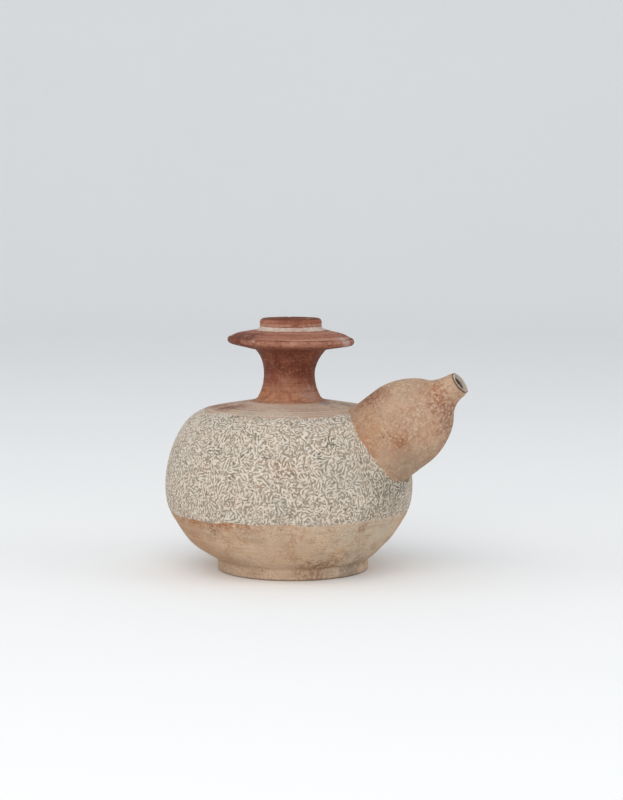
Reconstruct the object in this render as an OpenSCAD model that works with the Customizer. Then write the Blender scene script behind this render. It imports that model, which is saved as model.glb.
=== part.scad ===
// Kendi: an earthenware pouring vessel with a bulbous spout, a waisted neck and a flanged mouth.
// It is luted together from sections that are thrown one by one. Millimetres, +Z up, the spout points to +X.
// The origin is the middle of the circle on which the foot ring stands.

/* [Foot ring] */
// Height of the foot ring
foot_h = 7.5; // [4:0.5:10]
// Width of the ring that stands on the table
foot_w = 8; // [5:0.5:14]
// How far the ring stands back under the edge of the body
foot_step = 1.3; // [0.6:0.1:4]
// Radius of the round of the ring's outer side
foot_round = 7; // [6:0.5:14]

/* [Body] */
// Radius at the belly, where the body is widest
belly_r = 74.2; // [66:0.2:84]
// Height of the belly above the table
belly_z = 51; // [46:0.5:60]
// Radius of the arc below the belly
lower_arc_r = 44; // [38:0.5:48]
// Angle below the belly at which that arc runs out into the straight underside
under_turn = 50; // [40:1:58]
// Radius of the arc above the belly
upper_arc_r = 65; // [55:0.5:74]
// Angle above the belly at which that arc turns into the shoulder round
shoulder_turn = 32; // [24:1:40]
// Radius of the shoulder round
shoulder_arc_r = 26; // [18:0.5:32]
// Rise of the shoulder towards the neck, in degrees
shoulder_slope = 8; // [3:0.5:14]
// Thickness of the body's wall
body_wall = 5; // [3.5:0.1:7]
// Thickness of the floor
floor_t = 6; // [4:0.5:10]
// How far below the belly the two halves of the body meet
seam_drop = 16; // [8:0.5:24]
// Slope of the bevel on which the upper half sits in the lower half, in degrees
seam_bevel = 30; // [15:1:45]
// Width of the flat land outside that bevel
seam_land = 1; // [0.5:0.1:1.5]
// Radius of the bead of clay that squeezes out inside that seam
seam_bead = 3; // [1.5:0.1:4]

/* [Patterned slip] */
// Thickness of the slip coat that carries the pattern
slip_t = 0.6; // [0.3:0.05:1.2]
// Angle on the shoulder round at which the slip stops
slip_turn = 76; // [60:1:82]

/* [Neck] */
// Outer radius at the waist
neck_waist_r = 15.3; // [13:0.1:18]
// Radius of the hollow arc below the waist
neck_lower_arc = 28; // [25:0.5:40]
// Radius of the hollow arc above the waist
neck_upper_arc = 21; // [18:0.5:30]
// Height of the neck below its waist
neck_lower_h = 16.5; // [12:0.5:20]
// Height of the neck above its waist
neck_upper_h = 15; // [11:0.5:17]
// Wall of the neck
neck_wall = 4; // [2.5:0.1:5]
// Radius of the bead of luting clay round the foot of the neck
neck_bead = 1.2; // [1.2:0.1:3]

/* [Flange and mouth] */
// Outer radius of the flange
flange_r = 37.6; // [34:0.2:46]
// Thickness of the flange over the neck
flange_t = 11.8; // [11:0.1:14]
// How far the underside of the flange rises to its lip
flange_rise = 3.3; // [1.5:0.1:4]
// Radius of the rolled lip
lip_r = 1.9; // [1.5:0.1:3]
// Radius of the groove turned above the lip
lip_groove = 0.5; // [0.3:0.05:0.9]
// How far the groove lies in from the edge
lip_groove_in = 1.3; // [1:0.1:2]
// Radius of the shallow dome of its upper face
dome_r = 100; // [70:1:160]
// How far outside the collar that dome starts
dome_out = 1.2; // [0.5:0.1:3]
// Radius of the mouth
mouth_r = 15.3; // [12.5:0.1:17]
// Wall of the collar at its foot
collar_wall = 3.6; // [2.8:0.1:5]
// Height of the collar over the flange
collar_h = 6.7; // [5:0.1:12]
// How far the collar leans in towards its rim
collar_lean = 0.7; // [0.2:0.1:1.2]
// Radius of the round of the collar's rim
rim_round = 2.4; // [1.2:0.1:2.6]
// Radius of the bead of pale slip round the foot of the collar
collar_bead = 2; // [1:0.1:3]

/* [Spout] */
// Rise of the spout above level, in degrees
spout_tilt = 37; // [30:0.5:42]
// How far below the belly the spout's axis meets the body's axis
spout_drop = 15.7; // [10:0.1:20]
// Length of the spout along its axis, from the body's surface to the tip
spout_reach = 53; // [49:0.5:66]
// Radius of the bulb
bulb_r = 26.2; // [22:0.1:28]
// Radius of the arc that rounds the bulb off
bulb_arc_r = 33; // [29:0.5:40]
// Distance from the tip back to the fullest part of the bulb
bulb_back = 43; // [38:0.5:45]
// Radius of the hollow arc between bulb and nozzle
throat_arc_r = 18; // [12:0.5:26]
// Radius of the nozzle
nozzle_r = 7.5; // [7:0.1:9.5]
// Radius of the nozzle at its tip
tip_r = 6.75; // [6.4:0.05:7]
// Radius of the hole in the nozzle
nozzle_bore_r = 3.9; // [3:0.1:4.4]
// Wall of the bulb
spout_wall = 4.2; // [3:0.1:6]
// Length of the pale ring at the tip
spout_lip_t = 1.8; // [1.7:0.1:3]
// How far that ring stands out of the nozzle
spout_lip_proud = 0.4; // [0.1:0.1:0.8]
// Clay left round that ring
spout_lip_edge = 0.55; // [0.3:0.05:1]
// Depth of the flare at the mouth of that ring
spout_flare = 1.4; // [0.5:0.1:1.4]
// Width of the rim left round the flare
spout_rim = 0.7; // [0.4:0.1:0.8]
// Radius of the port cut through the body under the bulb
port_r = 12; // [8:0.5:15]
// Width of the ridge of luting clay round the root of the spout
lute_w = 2.6; // [1.6:0.1:5]
// Height of that ridge over the body
lute_h = 1.8; // [1:0.1:4]

/* [Hidden] */
$fn = 96;

// Colours of the clays and slips
buff_clay = "#c39b76";
red_slip = "#a5532f";
orange_clay = "#bd8560";
pale_slip = "#d3bba3";
worm_slip = "#a59683";

// Where one arc runs on into another or into a line, they cross at this small angle and meet in a clean edge
crease = 3;
// Far outside the object, for cuts that go right through
far = 2 * belly_r;

// Body: centres of its arcs, as radius and height
belly_c = [belly_r, belly_z];
lower_c = belly_c - [lower_arc_r, 0];
upper_c = belly_c - [upper_arc_r, 0];
shoulder_c = upper_c + gap_inside(upper_arc_r, shoulder_arc_r) * ray(shoulder_turn);

// Seam of the two halves, where the bevel starts
seam_z = belly_z - seam_drop;
seam_r = lower_c.x + sqrt(pow(lower_arc_r - slip_t, 2) - seam_drop * seam_drop) - seam_land;

// Foot ring under the straight underside
floor_z = foot_h + floor_t;
foot_r = under_r(foot_h, 0) - foot_step;

// Neck, flange and collar, one on top of the other
neck_base_r = neck_r(neck_lower_arc, neck_lower_h, 0);
neck_hole_r = neck_r(neck_lower_arc, neck_lower_h, neck_wall);
neck_top_r = neck_r(neck_upper_arc, neck_upper_h, 0);
neck_top_bore_r = neck_r(neck_upper_arc, neck_upper_h, neck_wall);
neck_z = shoulder_z(neck_base_r, 0);
waist_z = neck_z + neck_lower_h;
flange_z = waist_z + neck_upper_h;
collar_z = flange_z + flange_t;
collar_r = mouth_r + collar_wall;
collar_top_z = collar_z + collar_h;
rim_r = collar_r - collar_lean;
rim_c = [collar_r - collar_lean / 2 - rim_round, collar_top_z - rim_round * cos(crease)];

// Flange: centre of the rolled lip, centre of the dome on the axis, and the groove between lip and dome
lip_c = [flange_r - lip_r, flange_z + flange_rise + lip_r];
groove_r = flange_r - lip_groove_in;
dome_z = collar_z - sqrt(dome_r * dome_r - pow(collar_r + dome_out, 2));
groove_c = [groove_r, dome_z + sqrt(dome_r * dome_r - groove_r * groove_r)];

// Spout, as radius and distance along its axis from the body's axis
spout_z = belly_z - spout_drop;
spout_len = reach_out([0, spout_z], ray(spout_tilt), upper_c, upper_arc_r) + spout_reach;
bulb_a = spout_len - bulb_back;
bulb_c = [bulb_r - bulb_arc_r, bulb_a];
root_a = belly_r - bulb_r;
spout_lip_r = tip_r - spout_lip_edge;

// Direction at an angle above level
function ray(angle) = [cos(angle), sin(angle)];

// Distance between the centres of two arcs that run into each other, one inside the other or side by side
function gap_inside(r1, r2) = sqrt(r1 * r1 + r2 * r2 - 2 * r1 * r2 * cos(crease));
function gap_beside(r1, r2) = sqrt(r1 * r1 + r2 * r2 + 2 * r1 * r2 * cos(crease));

// Distance along a direction to a circle, from a point inside it and from a point outside it
function reach_out(start, dir, centre, r) =
    let (q = start - centre, along = q * dir)
    sqrt(along * along - q * q + r * r) - along;
function reach_in(start, dir, centre, r) =
    let (q = start - centre, along = q * dir)
    -along - sqrt(along * along - q * q + r * r);

// Radius of the straight underside at a height, at a depth d under its surface
function under_r(z, d) =
    let (across = (lower_arc_r - d) * cos(crease) + (z - lower_c.y) * sin(under_turn))
    lower_c.x + across / cos(under_turn);

// Height of the shoulder at a radius, at a depth d under its surface
function shoulder_z(r, d) =
    let (across = (shoulder_arc_r - d) * cos(crease) - (r - shoulder_c.x) * sin(shoulder_slope))
    shoulder_c.y + across / cos(shoulder_slope);

// Radius of the neck at a height h from its waist and a depth d under its face
function neck_r(arc_r, h, d) = neck_waist_r + arc_r - sqrt(pow(arc_r + d, 2) - h * h);

// A half section turned about an axis
module turned() {
    rotate_extrude() children();
}

// What lies beyond an arc, between two directions from its centre
module beyond_arc(centre, r, from, to) {
    difference() {
        polygon([centre, centre + 2 * far * ray(from), centre + 2 * far * ray(to)]);
        translate(centre) circle(r);
    }
}

// The filled half section of the body at a depth d under its surface: first below the belly, then above it
module body_area(d, bottom) {
    difference() {
        polygon([[0, bottom], [under_r(bottom, d), bottom], [under_r(belly_z, d), belly_z], [0, belly_z]]);
        beyond_arc(lower_c, lower_arc_r - d, -under_turn, under_turn);
    }
    difference() {
        intersection() {
            translate(upper_c) circle(upper_arc_r - d);
            polygon([[0, belly_z], [far, belly_z], [far, shoulder_z(far, d)], [0, shoulder_z(0, d)]]);
        }
        beyond_arc(shoulder_c, shoulder_arc_r - d, shoulder_turn, 90 - shoulder_slope);
    }
}

module cavity_area() {
    body_area(body_wall, floor_z);
}

// Everything below the seam, whose bevel runs through the wall into the hollow
module below_seam() {
    bevel_w = 2 * body_wall;
    bevel_z = seam_z - bevel_w * tan(seam_bevel);
    polygon([[0, -far], [far, -far], [far, seam_z], [seam_r, seam_z], [seam_r - bevel_w, bevel_z],
             [0, bevel_z]]);
}

// Where the slip lies: from the seam up to the shoulder
module slip_zone() {
    polygon([shoulder_c, [shoulder_c.x, seam_z], [far, seam_z], [far, far],
             shoulder_c + far * ray(slip_turn)]);
}

// Section of the slip coat
module slip_area() {
    difference() {
        intersection() {
            body_area(0, foot_h);
            slip_zone();
        }
        body_area(slip_t, foot_h);
    }
}

// Section of the body without its slip coat, filled
module core_area() {
    body_area(slip_t, foot_h);
    difference() {
        body_area(0, foot_h);
        slip_zone();
    }
}

module body_core() {
    turned() core_area();
}

// Everything below the line of the shoulder
module below_shoulder() {
    polygon([[0, 0], [far, 0], [far, shoulder_z(far, 0)], [0, shoulder_z(0, 0)]]);
}

// Half section of the neck at a depth d under its face, filled, between two heights
module neck_area(d, bottom, top) {
    outer_r = neck_waist_r + min(neck_lower_arc, neck_upper_arc);
    difference() {
        translate([0, bottom]) square([outer_r, top - bottom]);
        intersection() {
            translate([neck_waist_r + neck_lower_arc, waist_z]) circle(neck_lower_arc + d);
            translate([0, waist_z - far]) square([far, far]);
        }
        intersection() {
            translate([neck_waist_r + neck_upper_arc, waist_z]) circle(neck_upper_arc + d);
            translate([0, waist_z]) square([far, far]);
        }
    }
}

// Lays a piece that stands on +Z along the spout's axis, with the start of its turn at the side
module along_spout() {
    translate([0, 0, spout_z]) rotate([0, 90 - spout_tilt, 0]) rotate(90) children();
}

// Half section of bulb, hollow throat and nozzle, filled, from the root to the tip
module bulb_area(arc_r, throat_r, nozzle, tip, from_a, tip_a) {
    throat_x = nozzle + throat_r * cos(crease);
    throat_dx = throat_x - bulb_c.x;
    throat_da = sqrt(pow(gap_beside(arc_r, throat_r), 2) - throat_dx * throat_dx);
    throat_c = [throat_x, bulb_a + throat_da];
    translate([0, from_a]) square([bulb_c.x + arc_r * cos(crease), bulb_a - from_a]);
    intersection() {
        translate(bulb_c) circle(arc_r);
        translate([0, from_a]) square([far, far]);
    }
    difference() {
        polygon([[0, bulb_a - bulb_c.x * throat_da / throat_dx], throat_c, [0, throat_c.y]]);
        translate(throat_c) circle(throat_r);
    }
    polygon([[0, throat_c.y - nozzle], [nozzle, throat_c.y - throat_r * sin(2 * crease)],
             [nozzle, throat_c.y], [tip, tip_a], [0, tip_a]]);
}

module spout_area() {
    bulb_area(bulb_arc_r, throat_arc_r, nozzle_r, tip_r, root_a, spout_len - spout_lip_proud);
}

// The hollow follows the outside one wall further in, down to the hole in the nozzle
module spout_hollow_area() {
    bulb_area(bulb_arc_r - spout_wall, throat_arc_r + nozzle_r - nozzle_bore_r,
              nozzle_bore_r, nozzle_bore_r, root_a - spout_wall, spout_len + spout_lip_t);
}

// Foot of the luting ridge: a slow cone round the root of the bulb. Half way along, the ridge has its width.
module lute_cone() {
    translate([0, 0, root_a]) cylinder(h = bulb_a - root_a, r1 = bulb_r + 2 * lute_w, r2 = bulb_r);
}

module foot_ring() {
    color(buff_clay)
        turned()
        intersection() {
            translate([foot_r - foot_w, 0]) square([2 * foot_w, foot_h]);
            translate([foot_r - foot_round, foot_h / 2]) circle(foot_round);
        }
}

module lower_body() {
    color(buff_clay)
        turned()
        intersection() {
            difference() {
                body_area(0, foot_h);
                cavity_area();
            }
            below_seam();
        }
}

// Bead of clay along the inside of the seam
module seam_lute() {
    inward = ray(180 + seam_bevel);
    start = [seam_r, seam_z];
    bead_c = start + inward * reach_in(start, inward, lower_c, lower_arc_r - body_wall);
    color(orange_clay)
        turned()
        intersection() {
            translate(bead_c) circle(seam_bead);
            cavity_area();
        }
}

module upper_body() {
    color(orange_clay)
        difference() {
            turned()
                difference() {
                    core_area();
                    cavity_area();
                    below_seam();
                    translate([0, belly_z]) square([neck_hole_r, far]);
                }
            along_spout() translate([0, 0, root_a]) cylinder(h = spout_reach, r = port_r);
        }
}

module pattern_slip() {
    color(worm_slip)
        difference() {
            turned() slip_area();
            along_spout() lute_cone();
        }
}

// Bead of luting clay in the corner between neck and shoulder
module neck_lute() {
    color(red_slip)
        turned()
        difference() {
            translate([neck_base_r, neck_z]) circle(neck_bead);
            below_shoulder();
            neck_area(0, belly_z, flange_z);
        }
}

module neck() {
    color(red_slip)
        turned()
        difference() {
            neck_area(0, neck_z - neck_wall, flange_z);
            neck_area(neck_wall, neck_z - 2 * neck_wall, flange_z + neck_wall);
            below_shoulder();
        }
}

module flange() {
    color(red_slip)
        turned()
        difference() {
            union() {
                intersection() {
                    polygon([[neck_top_bore_r, flange_z], [neck_top_r, flange_z], lip_c - [0, lip_r / 2],
                             [groove_r, lip_c.y], [groove_r, collar_z], [mouth_r, collar_z]]);
                    translate([0, dome_z]) circle(dome_r);
                }
                translate(lip_c) circle(lip_r);
            }
            translate(groove_c) circle(lip_groove);
        }
}

// Half section of the collar's wall before its rim is rounded
module collar_area() {
    polygon([[mouth_r, collar_z], [collar_r, collar_z], [rim_r, collar_top_z], [mouth_r, collar_top_z]]);
}

module mouth_collar() {
    color(red_slip)
        turned()
        difference() {
            collar_area();
            beyond_arc(rim_c, rim_round, 0, 90);
        }
}

// Pale slip that fills the corner between collar and flange
module collar_slip() {
    color(pale_slip)
        turned()
        difference() {
            translate([collar_r, collar_z]) circle(collar_bead);
            translate([0, flange_z]) square([far, flange_t]);
            collar_area();
        }
}

module spout() {
    color(orange_clay)
        difference() {
            along_spout()
                turned()
                difference() {
                    spout_area();
                    spout_hollow_area();
                    translate([0, spout_len - spout_lip_t]) square([spout_lip_r, spout_lip_t]);
                }
            body_core();
        }
}

// Ridge of clay that beds the spout on the body
module spout_lute() {
    color(orange_clay)
        difference() {
            intersection() {
                along_spout() lute_cone();
                turned() body_area(-lute_h, foot_h);
            }
            body_core();
            along_spout() turned() spout_area();
        }
}

// Pale ring let into the tip of the nozzle, flared towards its mouth
module spout_lip() {
    color(pale_slip)
        along_spout()
        translate([0, 0, spout_len - spout_lip_t])
        turned()
        polygon([[nozzle_bore_r, 0], [spout_lip_r, 0], [spout_lip_r, spout_lip_t],
                 [spout_lip_r - spout_rim, spout_lip_t], [nozzle_bore_r, spout_lip_t - spout_flare]]);
}

foot_ring();
lower_body();
seam_lute();
upper_body();
pattern_slip();
neck_lute();
neck();
flange();
mouth_collar();
collar_slip();
spout();
spout_lute();
spout_lip();
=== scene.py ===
"""Kendi: looks of an earthenware pouring vessel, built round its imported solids.

Metres, +Z up, spout towards +X.
"""

import math
from contextlib import contextmanager

import bmesh
import bpy
import numpy as np
from bpy.props import FloatProperty, FloatVectorProperty, IntProperty, PointerProperty
from mathutils import Euler, Matrix, Vector


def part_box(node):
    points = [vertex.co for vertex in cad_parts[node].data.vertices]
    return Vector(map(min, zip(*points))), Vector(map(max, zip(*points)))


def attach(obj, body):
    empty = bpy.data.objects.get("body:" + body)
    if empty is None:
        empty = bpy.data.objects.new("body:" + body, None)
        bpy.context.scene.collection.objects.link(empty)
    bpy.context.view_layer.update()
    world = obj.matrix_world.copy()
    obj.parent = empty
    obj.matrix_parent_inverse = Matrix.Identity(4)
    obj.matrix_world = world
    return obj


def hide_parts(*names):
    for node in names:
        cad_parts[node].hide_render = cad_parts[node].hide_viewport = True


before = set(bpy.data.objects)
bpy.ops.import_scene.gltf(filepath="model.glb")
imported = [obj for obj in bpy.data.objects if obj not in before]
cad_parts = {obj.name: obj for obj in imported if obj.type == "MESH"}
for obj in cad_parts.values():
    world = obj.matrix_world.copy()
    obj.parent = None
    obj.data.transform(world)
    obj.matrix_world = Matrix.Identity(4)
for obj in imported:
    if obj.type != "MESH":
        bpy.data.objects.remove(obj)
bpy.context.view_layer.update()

bl_info = {
    "name": "Earthenware kendi",
    "version": (1, 0, 0),
    "blender": (4, 5, 0),
    "location": "3D View > Sidebar > Kendi",
    "description": "Dresses the solids of a kendi with hand-turned clay and slip",
    "category": "Object",
}

MM = 0.001
FOOT_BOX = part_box("foot_ring")
SLIP_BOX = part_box("pattern_slip")
NECK_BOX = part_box("neck")
FLANGE_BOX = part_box("flange")
COLLAR_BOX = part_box("mouth_collar")

# Points closer together than this are one point
SAME_PLACE = 1e-7
# Edges that turn by more than this stay sharp
SHARP_ANGLE = math.radians(38)
# Step between the points of an outline, and the longer one where it hardly shows
STEP = 1.0 * MM
HIDDEN_STEP = 3 * MM

# Sockets of the Mix node and of the 3D Gabor texture, which share their names with others
MIX_FLOAT_A = 2
MIX_FLOAT_B = 3
MIX_A = 6
MIX_B = 7
MIX_RESULT = 2
GABOR_DIRECTION = 5


def linear(hex_colour):
    """The linear colour of an sRGB hex value"""
    parts = [int(hex_colour[i:i + 2], 16) / 255 for i in (1, 3, 5)]
    return [p / 12.92 if p <= 0.04045 else ((p + 0.055) / 1.055) ** 2.4 for p in parts]


def length(name, description, default):
    """A length in metres"""
    return FloatProperty(name=name, description=description, default=default, unit="LENGTH", precision=4)


def angle(name, description, degrees):
    """An angle, given in degrees"""
    return FloatProperty(name=name, description=description, default=math.radians(degrees), subtype="ANGLE")


def colour(name, description, hex_colour):
    """A colour, given as an sRGB hex value"""
    return FloatVectorProperty(name=name, description=description, default=linear(hex_colour),
                               subtype="COLOR", min=0, max=1)


class KendiSizes(bpy.types.PropertyGroup):
    """Sizes of the vessel, the same as those of its solids"""

    foot_width: length("Foot width", "Width of the ring that stands on the table", 8 * MM)
    belly_height: length("Belly height", "Height at which the body is widest", 51 * MM)
    lower_round: length("Lower round", "Radius of the arc below the belly", 44 * MM)
    under_angle: angle("Underside angle", "Angle at which the lower arc runs out into the underside", 50)
    upper_round: length("Upper round", "Radius of the arc above the belly", 65 * MM)
    shoulder_angle: angle("Shoulder angle", "Angle at which the upper arc turns into the shoulder round", 32)
    shoulder_round: length("Shoulder round", "Radius of the shoulder round", 26 * MM)
    shoulder_rise: angle("Shoulder rise", "Slope of the shoulder towards the neck", 8)
    body_wall: length("Body wall", "Thickness of the body's wall", 5 * MM)
    floor_thickness: length("Floor", "Thickness of the floor", 6 * MM)
    slip_thickness: length("Slip thickness", "Thickness of the patterned slip coat", 0.6 * MM)
    slip_angle: angle("Slip angle", "Angle on the shoulder round at which the slip stops", 76)
    neck_waist: length("Neck waist", "Radius of the neck at its waist", 15.3 * MM)
    neck_lower_round: length("Neck lower round", "Radius of the hollow arc below the waist", 28 * MM)
    neck_upper_round: length("Neck upper round", "Radius of the hollow arc above the waist", 21 * MM)
    neck_lower_height: length("Neck lower height", "Height of the neck below its waist", 16.5 * MM)
    neck_wall: length("Neck wall", "Wall of the neck", 4 * MM)
    neck_bead: length("Neck bead", "Radius of the fillet of luting clay at the foot of the neck", 1.2 * MM)
    flange_rise: length("Flange rise", "How far the underside of the flange rises to its lip", 3.3 * MM)
    lip_radius: length("Lip radius", "Radius of the rolled lip", 1.9 * MM)
    groove_radius: length("Groove radius", "Radius of the groove turned above the lip", 0.5 * MM)
    groove_inset: length("Groove inset", "How far the groove lies in from the edge", 1.3 * MM)
    dome_radius: length("Dome radius", "Radius of the shallow dome of the flange's upper face", 100 * MM)
    dome_start: length("Dome start", "How far outside the collar that dome starts", 1.2 * MM)
    mouth_radius: length("Mouth radius", "Radius of the mouth", 15.3 * MM)
    collar_wall: length("Collar wall", "Wall of the collar at its foot", 3.6 * MM)
    rim_round: length("Rim round", "Radius of the round of the collar's rim", 2.4 * MM)
    collar_bead: length("Collar bead", "Radius of the pale bead round the foot of the collar", 2 * MM)
    spout_tilt: angle("Spout tilt", "Rise of the spout above level", 37)
    spout_drop: length("Spout drop", "How far under the belly the axes of spout and body meet", 15.7 * MM)
    bulb_radius: length("Bulb radius", "Radius of the spout's bulb", 26.2 * MM)
    bulb_round: length("Bulb round", "Radius of the arc that rounds the bulb off", 33 * MM)
    bulb_back: length("Bulb back", "Distance from the tip back to the fullest part of the bulb", 43 * MM)
    throat_round: length("Throat round", "Radius of the hollow arc between bulb and nozzle", 18 * MM)
    nozzle_radius: length("Nozzle radius", "Radius of the nozzle", 7.5 * MM)
    tip_radius: length("Tip radius", "Radius of the nozzle at its tip", 6.75 * MM)
    bore_radius: length("Bore radius", "Radius of the hole in the nozzle", 3.9 * MM)
    spout_wall: length("Spout wall", "Wall of the bulb", 4.2 * MM)
    lip_ring: length("Lip ring", "Length of the pale ring at the spout's tip", 1.8 * MM)
    lip_proud: length("Lip proud", "How far that ring stands out of the nozzle", 0.4 * MM)
    lip_edge: length("Lip edge", "Clay left round that ring", 0.55 * MM)
    lip_flare: length("Lip flare", "Depth of the flare at the mouth of that ring", 1.4 * MM)
    lip_rim: length("Lip rim", "Width of the rim left round the flare", 0.7 * MM)
    port_radius: length("Port radius", "Radius of the port cut through the body under the bulb", 12 * MM)
    lute_width: length("Lute width", "Width of the ridge of luting clay round the spout's root", 2.2 * MM)
    lute_height: length("Lute height", "Height of that ridge", 2.0 * MM)


class KendiFinish(bpy.types.PropertyGroup):
    """Unevenness of the hand-made surface and colours of its clays and slips"""

    unevenness: length("Unevenness", "How far the hand-made surface strays from true round", 0.5 * MM)
    uneven_size: length("Unevenness size", "Distance from one swelling to the next", 45 * MM)
    line_depth: length("Turning line depth", "Depth of the lines left by turning", 0.07 * MM)
    line_pitch: length("Turning line pitch", "Distance from one turning line to the next", 1.6 * MM)
    worm_period: length("Worm period", "Distance from one slip stroke to the next", 1.8 * MM)
    worm_turn: length("Worm turn", "Distance over which the strokes change direction", 7 * MM)
    worm_relief: length("Worm relief", "Height of the slip strokes over their ground", 0.22 * MM)
    sway_azimuth: angle("Sway azimuth", "Direction of the sway, from +X towards +Y", 24)
    shoulder_swell: length("Shoulder swell", "How much higher the shoulder came out at the neck", 1.0 * MM)
    under_swell: length("Underside swell", "How far the underside swells low down and sinks above", 0.6 * MM)
    dome_swell: length("Dome swell", "How far the flange's upper face stands out near its edge", 0.5 * MM)
    lip_swell: length("Lip swell", "How much wider the flange's lip came out", 0.4 * MM)
    collar_inset: length("Collar inset", "How far in the collar's foot came out", 0.45 * MM)
    collar_flare: length("Collar flare", "How far the collar's rim stands out past its foot", 0.2 * MM)
    ring_swell: length("Ring swell", "How much fuller the pale ring round the collar came out", 0.7 * MM)
    spout_sag: length("Spout sag", "How far the spout sank while its clay was soft", 0.7 * MM)
    bulb_squeeze: length("Bulb squeeze", "How far the bulb is pressed in before its throat", 0.6 * MM)
    throat_swell: length("Throat swell", "How far the upper side of the spout's throat stands out", 0.8 * MM)
    nozzle_reach: length("Nozzle reach", "How far the nozzle was drawn out", 1.3 * MM)
    foot_sway: length("Foot sway", "How far the foot ring sits out of line", 1.5 * MM)
    belly_sway: length("Belly sway", "How far the body and the spout sit out of line", -0.8 * MM)
    mouth_sway: length("Mouth sway", "How far the mouth sits out of line", 0.1 * MM)
    mouth_tilt: angle("Mouth tilt", "How far the flange hangs down in the direction of the sway", 1.15)
    seed: IntProperty(name="Seed", description="Seed of the unevenness", default=4)
    buff: colour("Buff clay", "Bare clay of the lower body", "#c9b097")
    shoulder: colour("Shoulder clay", "Bare clay of the shoulder", "#c9b29d")
    red: colour("Red slip", "Burnished slip of neck and flange", "#8c503b")
    cream: colour("Cream slip", "Worm strokes", "#d8ccbd")
    ground: colour("Ground", "Ground between the worm strokes", "#918575")
    pale: colour("Pale slip", "Rings at mouth and spout", "#c6b7aa")
    spout: colour("Spout clay", "Clay of the spout", "#b7977d")
    lute: colour("Luting clay", "Ridge round the spout", "#ac8c71")


def sizes_and_finish(context):
    """The two groups of values that the scene holds"""
    return context.scene.kendi_sizes, context.scene.kendi_finish


def ray(turn):
    """A step of length 1 at an angle"""
    return np.array([math.cos(turn), math.sin(turn)])


def arc(centre, radius, start, end, step=STEP):
    """Points along an arc, from one angle to another"""
    count = max(3, math.ceil(abs(end - start) * radius / step) + 1)
    return [np.array(centre) + radius * ray(t) for t in np.linspace(start, end, count)]


def line(start, end, step=STEP):
    """Points along a straight line, both ends included"""
    start, end = np.array(start, float), np.array(end, float)
    count = max(2, math.ceil(np.linalg.norm(end - start) / step) + 1)
    return [start + (end - start) * t for t in np.linspace(0, 1, count)]


def joined(*runs):
    """One outline from several runs of points, without the points that two runs share"""
    points = []
    for run in runs:
        for point in run:
            if not points or np.linalg.norm(point - points[-1]) > SAME_PLACE:
                points.append(np.array(point, float))
    return points


def bend(start, corner, end):
    """Points along a soft bend, which leaves its start towards a corner and reaches its end from there"""
    return [(1 - t) ** 2 * start + 2 * t * (1 - t) * corner + t * t * end for t in np.linspace(0, 1, 8)]


class Body:
    """Arcs of the body's outline as (radius, height), taken from the sizes"""

    def __init__(self, sizes):
        self.sizes = sizes
        belly = np.array([SLIP_BOX[1].y, sizes.belly_height])
        self.lower_centre = belly - [sizes.lower_round, 0]
        self.upper_centre = belly - [sizes.upper_round, 0]
        inset = sizes.upper_round - sizes.shoulder_round
        self.shoulder_centre = self.upper_centre + inset * ray(sizes.shoulder_angle)
        self.crown = math.pi / 2 - sizes.shoulder_rise

    def lower_turn(self, height, depth):
        """Angle on the lower arc at a height"""
        return math.asin((height - self.lower_centre[1]) / (self.sizes.lower_round - depth))

    def under(self, depth, bottom, top, step=STEP):
        """Underside and lower arc from a height up to another, at a depth under the surface"""
        sizes = self.sizes
        radius = sizes.lower_round - depth
        turn = -sizes.under_angle
        tangent = self.lower_centre + radius * ray(turn)
        slope = (tangent[1] - bottom) / math.cos(turn)
        start = tangent + slope * np.array([math.sin(turn), -math.cos(turn)])
        return joined(
            line(start, tangent, step),
            arc(self.lower_centre, radius, turn, self.lower_turn(top, depth), step),
        )

    def belly(self, depth, bottom, turn, step=STEP):
        """From a height on the lower arc up over the belly to an angle on the shoulder round"""
        sizes = self.sizes
        return joined(
            arc(self.lower_centre, sizes.lower_round - depth, self.lower_turn(bottom, depth), 0, step),
            arc(self.upper_centre, sizes.upper_round - depth, 0, sizes.shoulder_angle, step),
            arc(self.shoulder_centre, sizes.shoulder_round - depth, sizes.shoulder_angle, turn, step),
        )

    def slope(self, radius, height):
        """Angle above level of the outward normal, at places on the surface above the belly"""
        belly = np.arctan2(height - self.upper_centre[1], radius - self.upper_centre[0])
        shoulder = np.arctan2(height - self.shoulder_centre[1], radius - self.shoulder_centre[0])
        return np.where(belly < self.sizes.shoulder_angle, belly, np.minimum(shoulder, self.crown))

    def shoulder(self, depth, turn, radius, step=STEP):
        """From an angle on the shoulder round in to a radius"""
        sizes = self.sizes
        crown = self.shoulder_centre + (sizes.shoulder_round - depth) * ray(self.crown)
        rise = (crown[0] - radius) * math.tan(sizes.shoulder_rise)
        return joined(
            arc(self.shoulder_centre, sizes.shoulder_round - depth, turn, self.crown, step),
            line(crown, [radius, crown[1] + rise], step),
        )


def sway_direction(finish):
    """Level direction in which the pieces sit out of line"""
    return Vector((math.cos(finish.sway_azimuth), math.sin(finish.sway_azimuth), 0))


def spout_frame(sizes, finish, swayed=True):
    """Matrix that lays a piece from +Z along the axis of the sagged spout, swayed with the body or not"""
    start = Vector((0, 0, sizes.belly_height - sizes.spout_drop))
    if swayed:
        start += finish.belly_sway * sway_direction(finish)
    lay = Matrix.Rotation(math.pi / 2 - sizes.spout_tilt, 4, "Y")
    return Matrix.Translation(start) @ lay @ Matrix.Translation((finish.spout_sag, 0, 0))


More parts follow.
